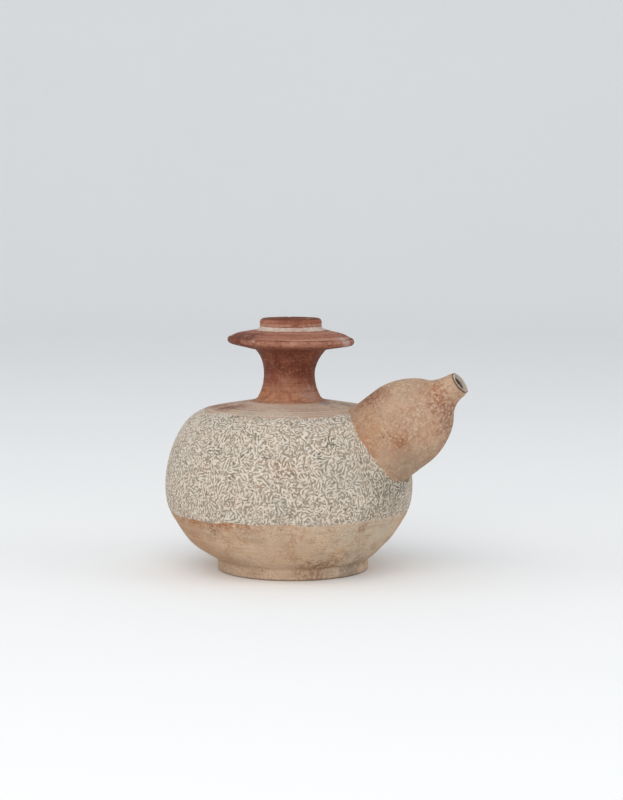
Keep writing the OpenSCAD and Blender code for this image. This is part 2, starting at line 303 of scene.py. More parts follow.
def spout_length(sizes):
    """Distance along the spout's axis from the body's axis to the tip of the solid"""
    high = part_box("spout_lip")[1]
    tip = Vector((high.x, 0, high.z)) - Vector((0, 0, sizes.belly_height - sizes.spout_drop))
    along = Vector((math.cos(sizes.spout_tilt), 0, math.sin(sizes.spout_tilt)))
    ring = sizes.tip_radius - sizes.lip_edge
    corner = Vector((math.sin(sizes.spout_tilt), 0, math.cos(sizes.spout_tilt))) * ring
    return (tip - corner).dot(along)


def spout_tip(sizes, finish):
    """Middle of the spout's mouth, with the nozzle drawn out"""
    return spout_frame(sizes, finish) @ Vector((0, 0, spout_length(sizes) + finish.nozzle_reach))


@contextmanager
def mending(mesh):
    """Opens a mesh for changes, and writes them back"""
    work = bmesh.new()
    work.from_mesh(mesh)
    yield work
    work.to_mesh(mesh)
    work.free()


def ring_mesh(name, places, rows):
    """A ring of like sections, with faces from each section to the next along the given rows of points"""
    segments, count = places.shape[:2]
    here = np.arange(segments)[:, None] * count
    there = np.roll(here, -1, axis=0)
    low = np.array(rows)[None, :]
    high = (low + 1) % count
    faces = np.stack([here + low, there + low, there + high, here + high], axis=-1).reshape(-1, 4)
    mesh = bpy.data.meshes.new(name)
    mesh.from_pydata(places.reshape(-1, 3).tolist(), [], faces.tolist())
    return mesh


def turned(name, outline, segments):
    """A closed mesh made by turning an outline, which runs up its outer side, about the Z axis"""
    points = np.array(outline)
    count = len(points)
    turns = np.linspace(0, 2 * math.pi, segments, endpoint=False)
    x = np.outer(np.cos(turns), points[:, 0])
    y = np.outer(np.sin(turns), points[:, 0])
    z = np.tile(points[:, 1], (segments, 1))
    on_axis = points[:, 0] < SAME_PLACE
    rows = [j for j in range(count) if not (on_axis[j] and on_axis[(j + 1) % count])]
    mesh = ring_mesh(name, np.stack([x, y, z], axis=-1), rows)
    if on_axis.any():
        with mending(mesh) as work:
            bmesh.ops.remove_doubles(work, verts=work.verts, dist=SAME_PLACE)
    return placed(name, mesh)


def placed(name, mesh):
    """An object at the origin for a mesh"""
    obj = bpy.data.objects.new(name, mesh)
    bpy.context.scene.collection.objects.link(obj)
    return obj


def settle(obj):
    """Turns an object's live modifiers into its own plain mesh"""
    depsgraph = bpy.context.evaluated_depsgraph_get()
    mesh = bpy.data.meshes.new_from_object(obj.evaluated_get(depsgraph), preserve_all_data_layers=True,
                                           depsgraph=depsgraph)
    mesh.name = obj.name
    obj.modifiers.clear()
    old = obj.data
    obj.data = mesh
    bpy.data.meshes.remove(old)


def run_tree(obj, tree, values):
    """Runs a geometry tree on an object with its named inputs, and keeps the result as a plain mesh"""
    modifier = obj.modifiers.new(tree.name, "NODES")
    modifier.node_group = tree
    for item in tree.interface.items_tree:
        if item.name in values:
            modifier[item.identifier] = values[item.name]
    settle(obj)


def cut(obj, cutter):
    """Cuts a closed mesh out of a piece, and does away with the cutter"""
    modifier = obj.modifiers.new("cut", "BOOLEAN")
    modifier.operation = "DIFFERENCE"
    modifier.solver = "MANIFOLD"
    modifier.object = cutter
    settle(obj)
    mesh = cutter.data
    bpy.data.objects.remove(cutter)
    bpy.data.meshes.remove(mesh)


def finish_piece(obj, node):
    """Shades a finished piece, and lets it ride in the place of its solid"""
    obj.data.shade_smooth()
    obj.data.set_sharp_from_angle(angle=SHARP_ANGLE)
    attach(obj, "root")
    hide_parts(node)


def add(tree, kind, inputs=None, **settings):
    """Adds a node with its settings, and fills its inputs with values or links"""
    node = tree.nodes.new(kind)
    for key, value in settings.items():
        setattr(node, key, value)
    for socket, source in (inputs or {}).items():
        if isinstance(source, bpy.types.Node):
            source = source.outputs[0]
        if isinstance(source, bpy.types.NodeSocket):
            tree.links.new(source, node.inputs[socket])
        else:
            node.inputs[socket].default_value = source
    return node


class Masks:
    """Masks over a surface, made of nodes. Blotches and specks take their sizes in millimetres."""

    def __init__(self, tree, place):
        self.tree = tree
        self.place = place
        self.height = add(tree, "ShaderNodeSeparateXYZ", {0: place}).outputs["Z"]

    def on_wheel(self):
        """Masks that change little along each turn of the wheel, so that their blotches make lines"""
        along_the_turn = 0.03
        part = add(self.tree, "ShaderNodeSeparateXYZ", {0: self.place}).outputs
        drift = add(self.tree, "ShaderNodeMath", {0: part["X"], 1: along_the_turn, 2: self.radius()},
                    operation="MULTIPLY_ADD")
        side = self.both(part["Y"], along_the_turn)
        place = add(self.tree, "ShaderNodeCombineXYZ", {"X": drift, "Y": side, "Z": self.height})
        return Masks(self.tree, place)

    def radius(self):
        """Distance from the vessel's axis"""
        flat = add(self.tree, "ShaderNodeVectorMath", {0: self.place, 1: (1, 1, 0)}, operation="MULTIPLY")
        return add(self.tree, "ShaderNodeVectorMath", {0: flat}, operation="LENGTH").outputs["Value"]

    def distance(self, at):
        """Distance from a place"""
        away = add(self.tree, "ShaderNodeVectorMath", {0: self.place, 1: at}, operation="DISTANCE")
        return away.outputs["Value"]

    def between(self, value, none, full):
        """Grows from 0 to 1 as a value goes from one limit to another, which may be the lower"""
        return add(self.tree, "ShaderNodeMapRange", {"Value": value, "From Min": none, "From Max": full},
                   interpolation_type="SMOOTHSTEP")

    def both(self, mask, other):
        """Where two masks overlap"""
        return add(self.tree, "ShaderNodeMath", {0: mask, 1: other}, operation="MULTIPLY")

    def band(self, value, start, full, fading, end):
        """Grows from 0 to 1 as a value goes from start to full, and dies away from fading to end"""
        return self.both(self.between(value, start, full), self.between(value, end, fading))

    def patches(self, size, none, full, detail, seed, twist=0.4):
        """Soft blotches, which cover more of the surface the lower their two limits are"""
        noise = add(self.tree, "ShaderNodeTexNoise", {
            "Vector": self.place, "W": seed, "Scale": 1 / (size * MM), "Detail": detail,
            "Distortion": twist}, noise_dimensions="4D")
        return self.between(noise.outputs[0], none, full)

    def mark(self, at, size):
        """A ragged blotch round a place"""
        reach = size * MM
        ragged = add(self.tree, "ShaderNodeTexNoise", {
            "Vector": self.place, "Scale": 3 / reach, "Detail": 4.0})
        shift = add(self.tree, "ShaderNodeVectorMath", {0: ragged.outputs["Color"], 1: (0.5, 0.5, 0.5)},
                    operation="SUBTRACT")
        shifted = add(self.tree, "ShaderNodeVectorMath", {0: shift, 1: [1.6 * size * MM] * 3, 2: self.place},
                      operation="MULTIPLY_ADD")
        away = add(self.tree, "ShaderNodeVectorMath", {0: shifted, 1: [c * MM for c in at]},
                   operation="DISTANCE")
        return self.between(away.outputs["Value"], reach, 0.2 * size * MM)

    def speckled(self, mask):
        """A mask broken up into fine specks"""
        return self.both(mask, self.patches(2, 0.36, 0.6, 4.0, 12, 0.0))

    def stain(self, at, size):
        """A ragged blotch of fine specks round a place"""
        return self.speckled(self.mark(at, size))

    def specks(self, spacing, largest, seed):
        """Round grains, one to each cell of a spacing, none wider than a share of its cell"""
        shifted = add(self.tree, "ShaderNodeVectorMath", {0: self.place, 1: [seed] * 3}, operation="ADD")
        cells = add(self.tree, "ShaderNodeTexVoronoi", {"Vector": shifted, "Scale": 1 / (spacing * MM)})
        size = self.both(cells.outputs["Color"], largest)
        depth = add(self.tree, "ShaderNodeMath", {0: size, 1: cells.outputs["Distance"]},
                    operation="SUBTRACT")
        return self.between(depth, 0.0, 0.3)

    def slip_cover(self):
        """Where the patterned slip covers the clay: all but its uneven lower and upper edges"""
        stray = 1.1 * MM
        ragged = add(self.tree, "ShaderNodeTexNoise", {
            "Vector": self.place, "Scale": 1 / (14 * MM), "Detail": 4.0})
        shift = add(self.tree, "ShaderNodeMapRange", {
            "Value": ragged.outputs[0], "From Min": 0.3, "From Max": 0.7, "To Min": -stray, "To Max": stray})
        edge = add(self.tree, "ShaderNodeMath", {0: self.height, 1: shift}, operation="ADD")
        bottom, top = SLIP_BOX[0].z, SLIP_BOX[1].z
        return self.band(edge, bottom + 1.5 * MM, bottom + 2.1 * MM, top - 0.7 * MM, top + 0.1 * MM)

    def strokes(self, direction, period):
        """Worm strokes: short waves of one period, laid across a direction that wanders over the surface"""
        waves_per_cell = 1.7
        crowding = 0.8
        waves = add(self.tree, "ShaderNodeTexGabor", {
            "Vector": self.place, "Scale": 1 / (waves_per_cell * period), "Frequency": waves_per_cell,
            "Anisotropy": 1.0, GABOR_DIRECTION: direction}, gabor_type="3D")
        crowd = add(self.tree, "ShaderNodeTexNoise", {
            "Vector": self.place, "Scale": 1 / period, "Detail": 1.0})
        shift = add(self.tree, "ShaderNodeMath", {0: crowd.outputs[0], 1: 0.5}, operation="SUBTRACT")
        field = add(self.tree, "ShaderNodeMath", {0: shift, 1: crowding, 2: waves.outputs["Value"]},
                    operation="MULTIPLY_ADD")
        return self.between(field, 0.36, 0.64)

    def mixed(self, mask, under, over):
        """One colour with another over it where a mask lets it show"""
        return add(self.tree, "ShaderNodeMix", {"Factor": mask, MIX_A: under, MIX_B: over},
                   data_type="RGBA").outputs[MIX_RESULT]

    def coats(self, first, layers):
        """Colours laid over each other, each with its mask and the share of it that covers"""
        result = (*first, 1.0)
        for mask, cover, hex_colour in layers:
            result = self.mixed(self.both(mask, cover), result, (*linear(hex_colour), 1.0))
        return result

    def grain(self, cover, light, dark, grit):
        """Layers of light and dark grains of sand, which gather in places, and a few specks of grit"""
        # Real sand is finer: these grains are as coarse as they need to be to show
        gathered = self.patches(13, 0.3, 0.62, 3.0, 30)
        return [
            (self.both(self.specks(1.4, 0.95, 1), gathered), cover, light),
            (self.both(self.specks(1.3, 0.95, 2), gathered), cover, dark),
            (self.patches(1.1, 0.5, 0.66, 2.0, 31), 0.6 * cover, dark),
            (self.specks(3.6, 0.3, 3), 0.75, grit),
        ]

    def dull(self, base, roughness, relief):
        """Ends a material in a dull surface, as of fired clay, whose fine sandy relief breaks the light"""
        grit = 0.5 * MM
        sand = add(self.tree, "ShaderNodeTexNoise", {"Vector": self.place, "Scale": 1 / grit, "Detail": 3.0})
        bump = add(self.tree, "ShaderNodeBump", {
            "Height": sand.outputs[0], "Strength": 0.5, "Distance": relief * MM})
        shader = add(self.tree, "ShaderNodeBsdfPrincipled", {
            "Base Color": base, "Roughness": roughness, "IOR": 1.5, "Specular IOR Level": 0.2,
            "Normal": bump})
        add(self.tree, "ShaderNodeOutputMaterial", {"Surface": shader})


def group_tree(name, inputs):
    """A geometry tree with its named inputs, and the sockets that give them"""
    tree = bpy.data.node_groups.new(name, "GeometryNodeTree")
    tree.interface.new_socket("Geometry", in_out="INPUT", socket_type="NodeSocketGeometry")
    for socket, kind in inputs.items():
        tree.interface.new_socket(socket, in_out="INPUT", socket_type=kind)
    tree.interface.new_socket("Geometry", in_out="OUTPUT", socket_type="NodeSocketGeometry")
    return tree, tree.nodes.new("NodeGroupInput").outputs


def end_tree(tree, geometry, material):
    """Ends a geometry tree in plain geometry with its material"""
    plain = add(tree, "GeometryNodeRealizeInstances", {"Geometry": geometry})
    dressed = add(tree, "GeometryNodeSetMaterial", {"Geometry": plain, "Material": material})
    add(tree, "NodeGroupOutput", {"Geometry": dressed})
    return tree


def hand_turned_tree():
    """Gives a turned piece the sway, slow swellings, turning lines and small nicks of hand work"""
    tree, given = group_tree("Hand-turned surface", {
        "Sway direction": "NodeSocketVector",
        **dict.fromkeys(("Foot sway", "Belly sway", "Mouth sway", "Unevenness", "Unevenness size",
                         "Line depth", "Line pitch", "Nick depth", "Nick size", "Seed"), "NodeSocketFloat"),
        "Material": "NodeSocketMaterial",
    })
    free_above = 12 * MM
    foot_bend = 9 * MM
    place = add(tree, "GeometryNodeInputPosition")
    normal = add(tree, "GeometryNodeInputNormal")
    height_over_table = add(tree, "ShaderNodeSeparateXYZ", {0: place}).outputs["Z"]

    def blotches(at, size, detail):
        """Soft blotches over places, with their size from an input of the tree"""
        scale = add(tree, "ShaderNodeMath", {0: 1.0, 1: given[size]}, operation="DIVIDE")
        noise = add(tree, "ShaderNodeTexNoise", {
            "Vector": at, "W": given["Seed"], "Scale": scale, "Detail": detail}, noise_dimensions="4D")
        return noise.outputs

    swell = blotches(place, "Unevenness size", 1.0)
    centred = add(tree, "ShaderNodeVectorMath", {0: swell["Color"], 1: (0.5, 0.5, 0.5)},
                  operation="SUBTRACT")
    # The ring that stands on the table stays flat
    freedom = add(tree, "ShaderNodeMapRange", {
        "Value": height_over_table, "From Min": 0.0, "From Max": free_above, "To Max": given["Unevenness"]})
    swelling = add(tree, "ShaderNodeVectorMath", {0: centred, "Scale": freedom}, operation="SCALE")
    low_sway = add(tree, "ShaderNodeMapRange", {
        "Value": height_over_table, "From Min": FOOT_BOX[1].z, "From Max": FOOT_BOX[1].z + foot_bend,
        "To Min": given["Foot sway"], "To Max": given["Belly sway"]}, interpolation_type="SMOOTHSTEP")
    neck_share = add(tree, "ShaderNodeMapRange", {
        "Value": height_over_table, "From Min": (NECK_BOX[0].z + NECK_BOX[1].z) / 2,
        "From Max": NECK_BOX[1].z}, interpolation_type="SMOOTHSTEP")
    sway = add(tree, "ShaderNodeMix", {
        "Factor": neck_share, MIX_FLOAT_A: low_sway, MIX_FLOAT_B: given["Mouth sway"]}, data_type="FLOAT")
    swayed = add(tree, "ShaderNodeVectorMath", {0: given["Sway direction"], "Scale": sway},
                 operation="SCALE")
    lines = blotches(Masks(tree, place).on_wheel().place, "Line pitch", 2.0)
    line_height = add(tree, "ShaderNodeMapRange", {
        "Value": lines[0], "From Min": 0.25, "From Max": 0.75, "To Min": -1.0, "To Max": 1.0})
    lined = add(tree, "ShaderNodeMath", {0: line_height, 1: given["Line depth"]}, operation="MULTIPLY")
    nicks = blotches(place, "Nick size", 1.0)
    nicked = add(tree, "ShaderNodeMapRange", {"Value": nicks[0], "From Min": 0.6, "From Max": 0.75},
                 interpolation_type="SMOOTHSTEP")
    taken = add(tree, "ShaderNodeMath", {0: nicked, 1: given["Nick depth"]}, operation="MULTIPLY")
    height = add(tree, "ShaderNodeMath", {0: lined, 1: taken}, operation="SUBTRACT")
    raised = add(tree, "ShaderNodeVectorMath", {0: normal, "Scale": height}, operation="SCALE")
    uneven = add(tree, "ShaderNodeVectorMath", {0: swelling, 1: raised}, operation="ADD")
    offset = add(tree, "ShaderNodeVectorMath", {0: uneven, 1: swayed}, operation="ADD")
    moved = add(tree, "GeometryNodeSetPosition", {"Geometry": given["Geometry"], "Offset": offset})
    return end_tree(tree, moved, given["Material"])


def worm_slip_tree(period):
    """Raises the worm strokes of the slip, and keeps the direction of each for the colours"""
    tree, given = group_tree("Worm strokes", {
        "Turn": "NodeSocketFloat",
        "Relief": "NodeSocketFloat",
        "Material": "NodeSocketMaterial",
    })
    swing = 11.0
    place = add(tree, "GeometryNodeInputPosition")
    masks = Masks(tree, place)
    normal = add(tree, "GeometryNodeInputNormal")
    turn_scale = add(tree, "ShaderNodeMath", {0: 1.0, 1: given["Turn"]}, operation="DIVIDE")
    wander = add(tree, "ShaderNodeTexNoise", {"Vector": place, "Scale": turn_scale, "Detail": 1.0})
    turn = add(tree, "ShaderNodeMath", {0: wander.outputs[0], 1: swing}, operation="MULTIPLY")
    across = add(tree, "ShaderNodeVectorMath", {0: (0.0, 0.0, 1.0), 1: place}, operation="CROSS_PRODUCT")
    level = add(tree, "ShaderNodeVectorMath", {0: across}, operation="NORMALIZE")
    upward = add(tree, "ShaderNodeVectorMath", {0: normal, 1: level}, operation="CROSS_PRODUCT")
    cosine = add(tree, "ShaderNodeMath", {0: turn}, operation="COSINE")
    sine = add(tree, "ShaderNodeMath", {0: turn}, operation="SINE")
    level_part = add(tree, "ShaderNodeVectorMath", {0: level, "Scale": cosine}, operation="SCALE")
    upward_part = add(tree, "ShaderNodeVectorMath", {0: upward, "Scale": sine}, operation="SCALE")
    direction = add(tree, "ShaderNodeVectorMath", {0: level_part, 1: upward_part}, operation="ADD")
    kept = add(tree, "GeometryNodeStoreNamedAttribute", {
        "Geometry": given["Geometry"], "Name": "stroke_direction", "Value": direction},
        data_type="FLOAT_VECTOR", domain="POINT")
    height = masks.both(masks.strokes(direction, period), given["Relief"])
    outward = add(tree, "ShaderNodeVectorMath", {0: normal, 1: place}, operation="DOT_PRODUCT")
    outside = add(tree, "FunctionNodeCompare", {0: outward.outputs["Value"], 1: 0.0}, data_type="FLOAT",
                  operation="GREATER_THAN")
    covered = masks.both(height, masks.slip_cover())
    raised = add(tree, "ShaderNodeVectorMath", {0: normal, "Scale": covered}, operation="SCALE")
    moved = add(tree, "GeometryNodeSetPosition", {"Geometry": kept, "Selection": outside, "Offset": raised})
    return end_tree(tree, moved, given["Material"])


def new_material(name):
    """An empty node material, and masks over its object coordinates"""
    material = bpy.data.materials.new(name)
    material.use_nodes = True
    material.node_tree.nodes.clear()
    place = add(material.node_tree, "ShaderNodeTexCoord").outputs["Object"]
    return material, Masks(material.node_tree, place)


def buff_clay(masks, finish):
    """Colour of buff clay scraped on the wheel: sandy and streaked, with iron stains, dark grit and painted
    contact shade round the foot's base
    """
    wheel = masks.on_wheel()
    # Rust that ran out of the slip's lower edge on one side
    rust = masks.both(masks.between(masks.height, 30.5 * MM, 35.5 * MM), masks.stain((-18, -66, 36), 48))
    # Painted contact shade: the lowest millimetre or so of the foot is darkened where it meets the table
    tread = masks.between(masks.height, 1.3 * MM, 0.2 * MM)
    scraped = masks.both(wheel.patches(2.2, 0.48, 0.68, 4.0, 3), masks.patches(12, 0.4, 0.6, 4.0, 9))
    return masks.coats(finish.buff, [
        (masks.patches(26, 0.4, 0.64, 6.0, 1), 0.45, "#c4a17e"),
        (masks.patches(18, 0.46, 0.66, 6.0, 2), 0.5, "#ab917b"),
        (masks.mark((-38, -55, 28), 38), 0.75, "#ad8465"),
        (masks.mark((62, -22, 22), 44), 0.75, "#b8ad9a"),
        (masks.speckled(masks.patches(9, 0.48, 0.64, 5.0, 6)), 0.6, "#a67853"),
        (scraped, 0.35, "#98795f"),
        (wheel.patches(1.3, 0.52, 0.66, 4.0, 8), 0.3, "#d2ba9f"),
        (rust, 0.95, "#9c6640"),
        (masks.stain((-19, -67, 30), 6), 0.8, "#7f553c"),
        (masks.stain((61, -34, 33), 6), 0.7, "#8d5f44"),
        (masks.stain((54, -34, 23), 9), 0.35, "#9a6b4a"),
        (masks.stain((48, -30, 15), 8), 0.55, "#84604a"),
        (masks.stain((36, -32, 10), 13), 0.85, "#7d5842"),
        (masks.stain((30, -38, 7), 15), 0.6, "#8a6249"),
        (masks.mark((45, -14, 5), 15), 0.75, "#85766a"),
        *masks.grain(0.34, "#d6c0a7", "#92755e", "#5f493b"),
        # Painted contact shade at the foot's base
        (tread, 0.6, "#6a5548"),
    ])


def buff_earthenware(finish):
    """Unglazed buff earthenware: dull and rough to the eye"""
    material, masks = new_material("buff earthenware")
    masks.dull(buff_clay(masks, finish), 0.88, 0.16)
    return material


def shoulder_clay(masks, finish):
    """Colour of the shoulder's bare clay: streaks of the wheel, and red wash that ran down from the neck"""
    wheel = masks.on_wheel()
    wash = masks.both(masks.between(masks.radius(), 26 * MM, 20 * MM), masks.patches(7, 0.38, 0.6, 5.0, 5))
    return masks.coats(finish.shoulder, [
        (masks.patches(22, 0.4, 0.62, 5.0, 1), 0.5, "#b0917c"),
        (wheel.patches(3.2, 0.44, 0.62, 4.0, 2), 0.5, "#9b7c67"),
        (wheel.patches(1.8, 0.48, 0.64, 4.0, 3), 0.55, "#d0beaa"),
        (wheel.patches(1.1, 0.54, 0.66, 3.0, 7), 0.45, "#8b6a56"),
        # Reddish stain and painted shade of a shallow dent: a dark crescent on the left of the shoulder
        (masks.mark((-27, -29, 98), 11), 0.9, "#7d5245"),
        (masks.mark((-40, -18, 98), 12), 0.7, "#8a6152"),
        (masks.mark((-20, -27, 99), 9), 0.5, "#946d5c"),
        (masks.mark((-52, -14, 96), 18), 0.5, "#a4806e"),
        (masks.mark((-6, -46, 97), 8), 0.4, "#a3a08c"),
        (masks.mark((8, -40, 98), 12), 0.5, "#cdbca3"),
        (masks.mark((22, -4, 100), 9), 0.65, "#81757a"),
        (masks.stain((31, -8, 99), 5), 0.8, "#8a4b3a"),
        (masks.mark((33, 8, 99), 10), 0.6, "#876a5e"),
        (wash, 0.5, "#a57a61"),
        *masks.grain(0.3, "#d3bfac", "#8e7465", "#66503f"),
    ])


def shoulder_earthenware(finish):
    """Unglazed clay of the shoulder, a little smoother than the body's"""
    material, masks = new_material("shoulder earthenware")
    masks.dull(shoulder_clay(masks, finish), 0.85, 0.14)
    return material


def worm_slip(finish):
    """Cream slip in short worm strokes on a grey-brown ground, dulled by burial, with rust, grey bloom and
    painted shade under the spout
    """
    material, masks = new_material("worm-stroke slip")
    direction = add(masks.tree, "ShaderNodeAttribute", attribute_name="stroke_direction").outputs["Vector"]
    ground = masks.coats(finish.ground, [
        (masks.patches(9, 0.42, 0.62, 3.0, 1), 0.6, "#a08b77"),
        (masks.patches(8, 0.48, 0.64, 3.0, 2), 0.55, "#838176"),
        (masks.patches(4, 0.5, 0.64, 2.0, 8), 0.5, "#b3a18f"),
        (masks.patches(4.5, 0.56, 0.66, 2.0, 3), 0.6, "#625b4f"),
        (masks.patches(5, 0.6, 0.72, 2.0, 4), 0.6, "#a98a70"),
        (masks.mark((-18, -67, 77), 6), 0.8, "#4f483f"),
        (masks.mark((46, -47, 83), 6), 0.75, "#504c44"),
        (masks.mark((42, -55, 77), 5), 0.7, "#504c44"),
        # Partly dark dirty slip, partly painted shade under the spout
        (masks.mark((73, -7, 55), 14), 0.85, "#4d4840"),
        (masks.mark((66, -24, 52), 20), 0.5, "#5d574c"),
        (masks.mark((26, -67, 69), 10), 0.6, "#96745a"),
        (masks.mark((64, -33, 40.5), 4), 0.8, "#6b5642"),
    ])
    cream = masks.coats(finish.cream, [
        (masks.patches(10, 0.42, 0.64, 3.0, 5), 0.5, "#d3bfae"),
        (masks.patches(7, 0.46, 0.66, 3.0, 6), 0.45, "#c2bcae"),
        (masks.mark((55, -46, 68), 22), 0.4, "#bab5a9"),
        # Partly greyed slip, partly painted shade under the spout on the band's right
        (masks.mark((70, -18, 50), 30), 0.7, "#ada494"),
        (masks.patches(4, 0.56, 0.68, 3.0, 11), 0.5, "#ab9a85"),
        (masks.patches(1.8, 0.5, 0.66, 3.0, 7), 0.3, "#b3a48f"),
    ])
    above = masks.between(masks.height, 60 * MM, 80 * MM)
    bare = masks.mixed(above, buff_clay(masks, finish), shoulder_clay(masks, finish))
    pattern = masks.mixed(masks.strokes(direction, finish.worm_period), ground, cream)
    masks.dull(masks.mixed(masks.slip_cover(), bare, pattern), 0.86, 0.1)
    return material


def red_slip(finish):
    """Iron-red slip, brushed on and burnished: dark where it lies thick, tan and chalky where it is worn,
    with painted shade under the flange, on the neck's right side, in the groove above the lip and along the
    mouth's rim, and a painted highlight on the flange's right
    """
    material, masks = new_material("burnished red slip")
    wheel = masks.on_wheel()
    height, radius = masks.height, masks.radius()
    neck_foot, neck_top = NECK_BOX[0].z, NECK_BOX[1].z
    collar_foot, rim = COLLAR_BOX[0].z, COLLAR_BOX[1].z
    edge = FLANGE_BOX[1].x + finish.lip_swell
    flange = masks.between(height, neck_top + MM, neck_top + 4 * MM)
    low_neck = masks.between(height, neck_foot + 16 * MM, neck_foot + 3 * MM)
    # Darker slip and painted shade under the flange, over the top of the neck
    dark_slip_and_flange_shade = masks.band(height, neck_top - 22 * MM, neck_top - 8 * MM, neck_top + MM, neck_top + 4 * MM)
    neck_edge = masks.between(height, neck_foot + 3 * MM, neck_foot + 0.5 * MM)
    # Dark dirt and painted shade in the groove above the lip
    groove = masks.both(flange, masks.band(radius, edge - 2.6 * MM, edge - 1.9 * MM,
                                           edge - 1.3 * MM, edge - 0.9 * MM))
    lip = masks.both(flange, masks.between(radius, edge - 1.4 * MM, edge - 0.8 * MM))
    worn_collar = masks.band(height, collar_foot + 2.2 * MM, collar_foot + 2.8 * MM,
                             collar_foot + 3.2 * MM, collar_foot + 4.4 * MM)
    brushed = masks.both(wheel.patches(1.6, 0.48, 0.64, 4.0, 3), masks.patches(7, 0.35, 0.6, 4.0, 15))
    base = masks.coats(finish.red, [
        (masks.patches(14, 0.44, 0.62, 6.0, 1), 0.5, "#6a3524"),
        (masks.patches(8, 0.46, 0.62, 6.0, 2), 0.5, "#9b644c"),
        (masks.both(low_neck, masks.patches(6, 0.34, 0.54, 6.0, 7)), 0.8, "#b4805f"),
        # Dark patch of slip and painted shade on the neck's right side
        (masks.stain((14, -4, 118), 12), 0.55, "#55291d"),
        (masks.mark((6, -15, 111), 11), 0.5, "#ad7b61"),
        (masks.mark((-13, -13, 105), 8), 0.7, "#b87d53"),
        (masks.mark((16, -7, 105), 9), 0.6, "#b19082"),
        # Darker slip and painted shade under the flange
        (masks.both(dark_slip_and_flange_shade, masks.patches(6, 0.3, 0.6, 6.0, 12)), 0.65, "#5c2a1c"),
        (masks.both(neck_edge, masks.patches(5, 0.36, 0.58, 4.0, 13)), 0.8, "#b48b70"),
        (masks.both(flange, wheel.patches(3, 0.38, 0.58, 5.0, 8)), 0.75, "#b3846f"),
        (brushed, 0.5, "#6a3727"),
        (masks.both(lip, masks.patches(8, 0.34, 0.56, 5.0, 9)), 0.45, "#935842"),
        (masks.both(lip, masks.patches(3, 0.5, 0.64, 4.0, 16)), 0.5, "#6b3626"),
        # Dark dirt and painted shade in the groove above the lip
        (masks.both(groove, masks.patches(10, 0.3, 0.6, 3.0, 17)), 0.7, "#572a1f"),
        (masks.both(flange, masks.mark((-23, -27, 139), 20)), 0.95, "#642d1d"),
        (masks.mark((-12, -32, 141), 5), 0.7, "#4d261b"),
        # Painted highlight: a pale spot where light glances off the right of the flange
        (masks.mark((37, -3, 138), 8), 0.65, "#c0a69b"),
        (masks.mark((33, 16, 138), 9), 0.7, "#652c20"),
        (masks.both(worn_collar, masks.patches(6, 0.3, 0.55, 4.0, 14)), 0.7, "#be937d"),
        (masks.patches(1.3, 0.5, 0.68, 3.0, 4), 0.3, "#b98c74"),
        (masks.patches(1.2, 0.5, 0.66, 3.0, 5), 0.35, "#4c251a"),
        (masks.both(lip, masks.specks(4, 0.4, 6)), 0.7, "#c9b1a1"),
        # Painted shade: a dark line along the top of the rim, for the shaded hollow of the mouth
        (masks.between(height, rim - 0.7 * MM, rim - 0.2 * MM), 0.75, "#55291e"),
    ])
    masks.dull(base, 0.7, 0.1)
    return material


def pale_slip(sizes, finish):
    """Thin pale slip, rubbed and stained by the clay beneath, with painted shade in the hollow of the
    spout's mouth
    """
    material, masks = new_material("pale slip")
    flare = sizes.tip_radius - sizes.lip_edge - sizes.lip_rim
    # Painted shade in the flared hollow of the spout's mouth
    hollow = masks.between(masks.distance(spout_tip(sizes, finish)), flare + 0.1 * MM, flare - 0.3 * MM)
    base = masks.coats(finish.pale, [
        (masks.patches(7, 0.4, 0.62, 5.0, 1), 0.6, "#ab9082"),
        (masks.patches(3, 0.48, 0.66, 4.0, 3), 0.5, "#a17f6f"),
        (masks.mark((9, -18, 145), 12), 0.45, "#ad8a7a"),
        (masks.patches(2, 0.5, 0.7, 3.0, 2), 0.5, "#d2c6ba"),
        (hollow, 0.7, "#958e82"),
    ])
    masks.dull(base, 0.85, 0.1)
    return material


def sandy_clay(masks, first, stains):
    """Colour of sandy orange-buff clay: rusty flashes from the fire, grey clay with painted shade beneath
    the spout, and stains of its own
    """
    return masks.coats(first, [
        (masks.patches(18, 0.4, 0.62, 6.0, 1), 0.5, "#a88a75"),
        (masks.patches(11, 0.46, 0.64, 6.0, 2), 0.45, "#c7a587"),
        (masks.speckled(masks.patches(9, 0.46, 0.62, 6.0, 6)), 0.6, "#a2704f"),
        (masks.patches(3.5, 0.46, 0.66, 5.0, 7), 0.4, "#9d7a60"),
        (masks.patches(3, 0.5, 0.68, 5.0, 9), 0.4, "#cdae92"),
        # Grey clay and painted shade on the spout's underside
        (masks.mark((82, -7, 68), 24), 0.6, "#96836f"),
        *stains,
        *masks.grain(0.36, "#d6bca1", "#8a6a53", "#5a4436"),
    ])


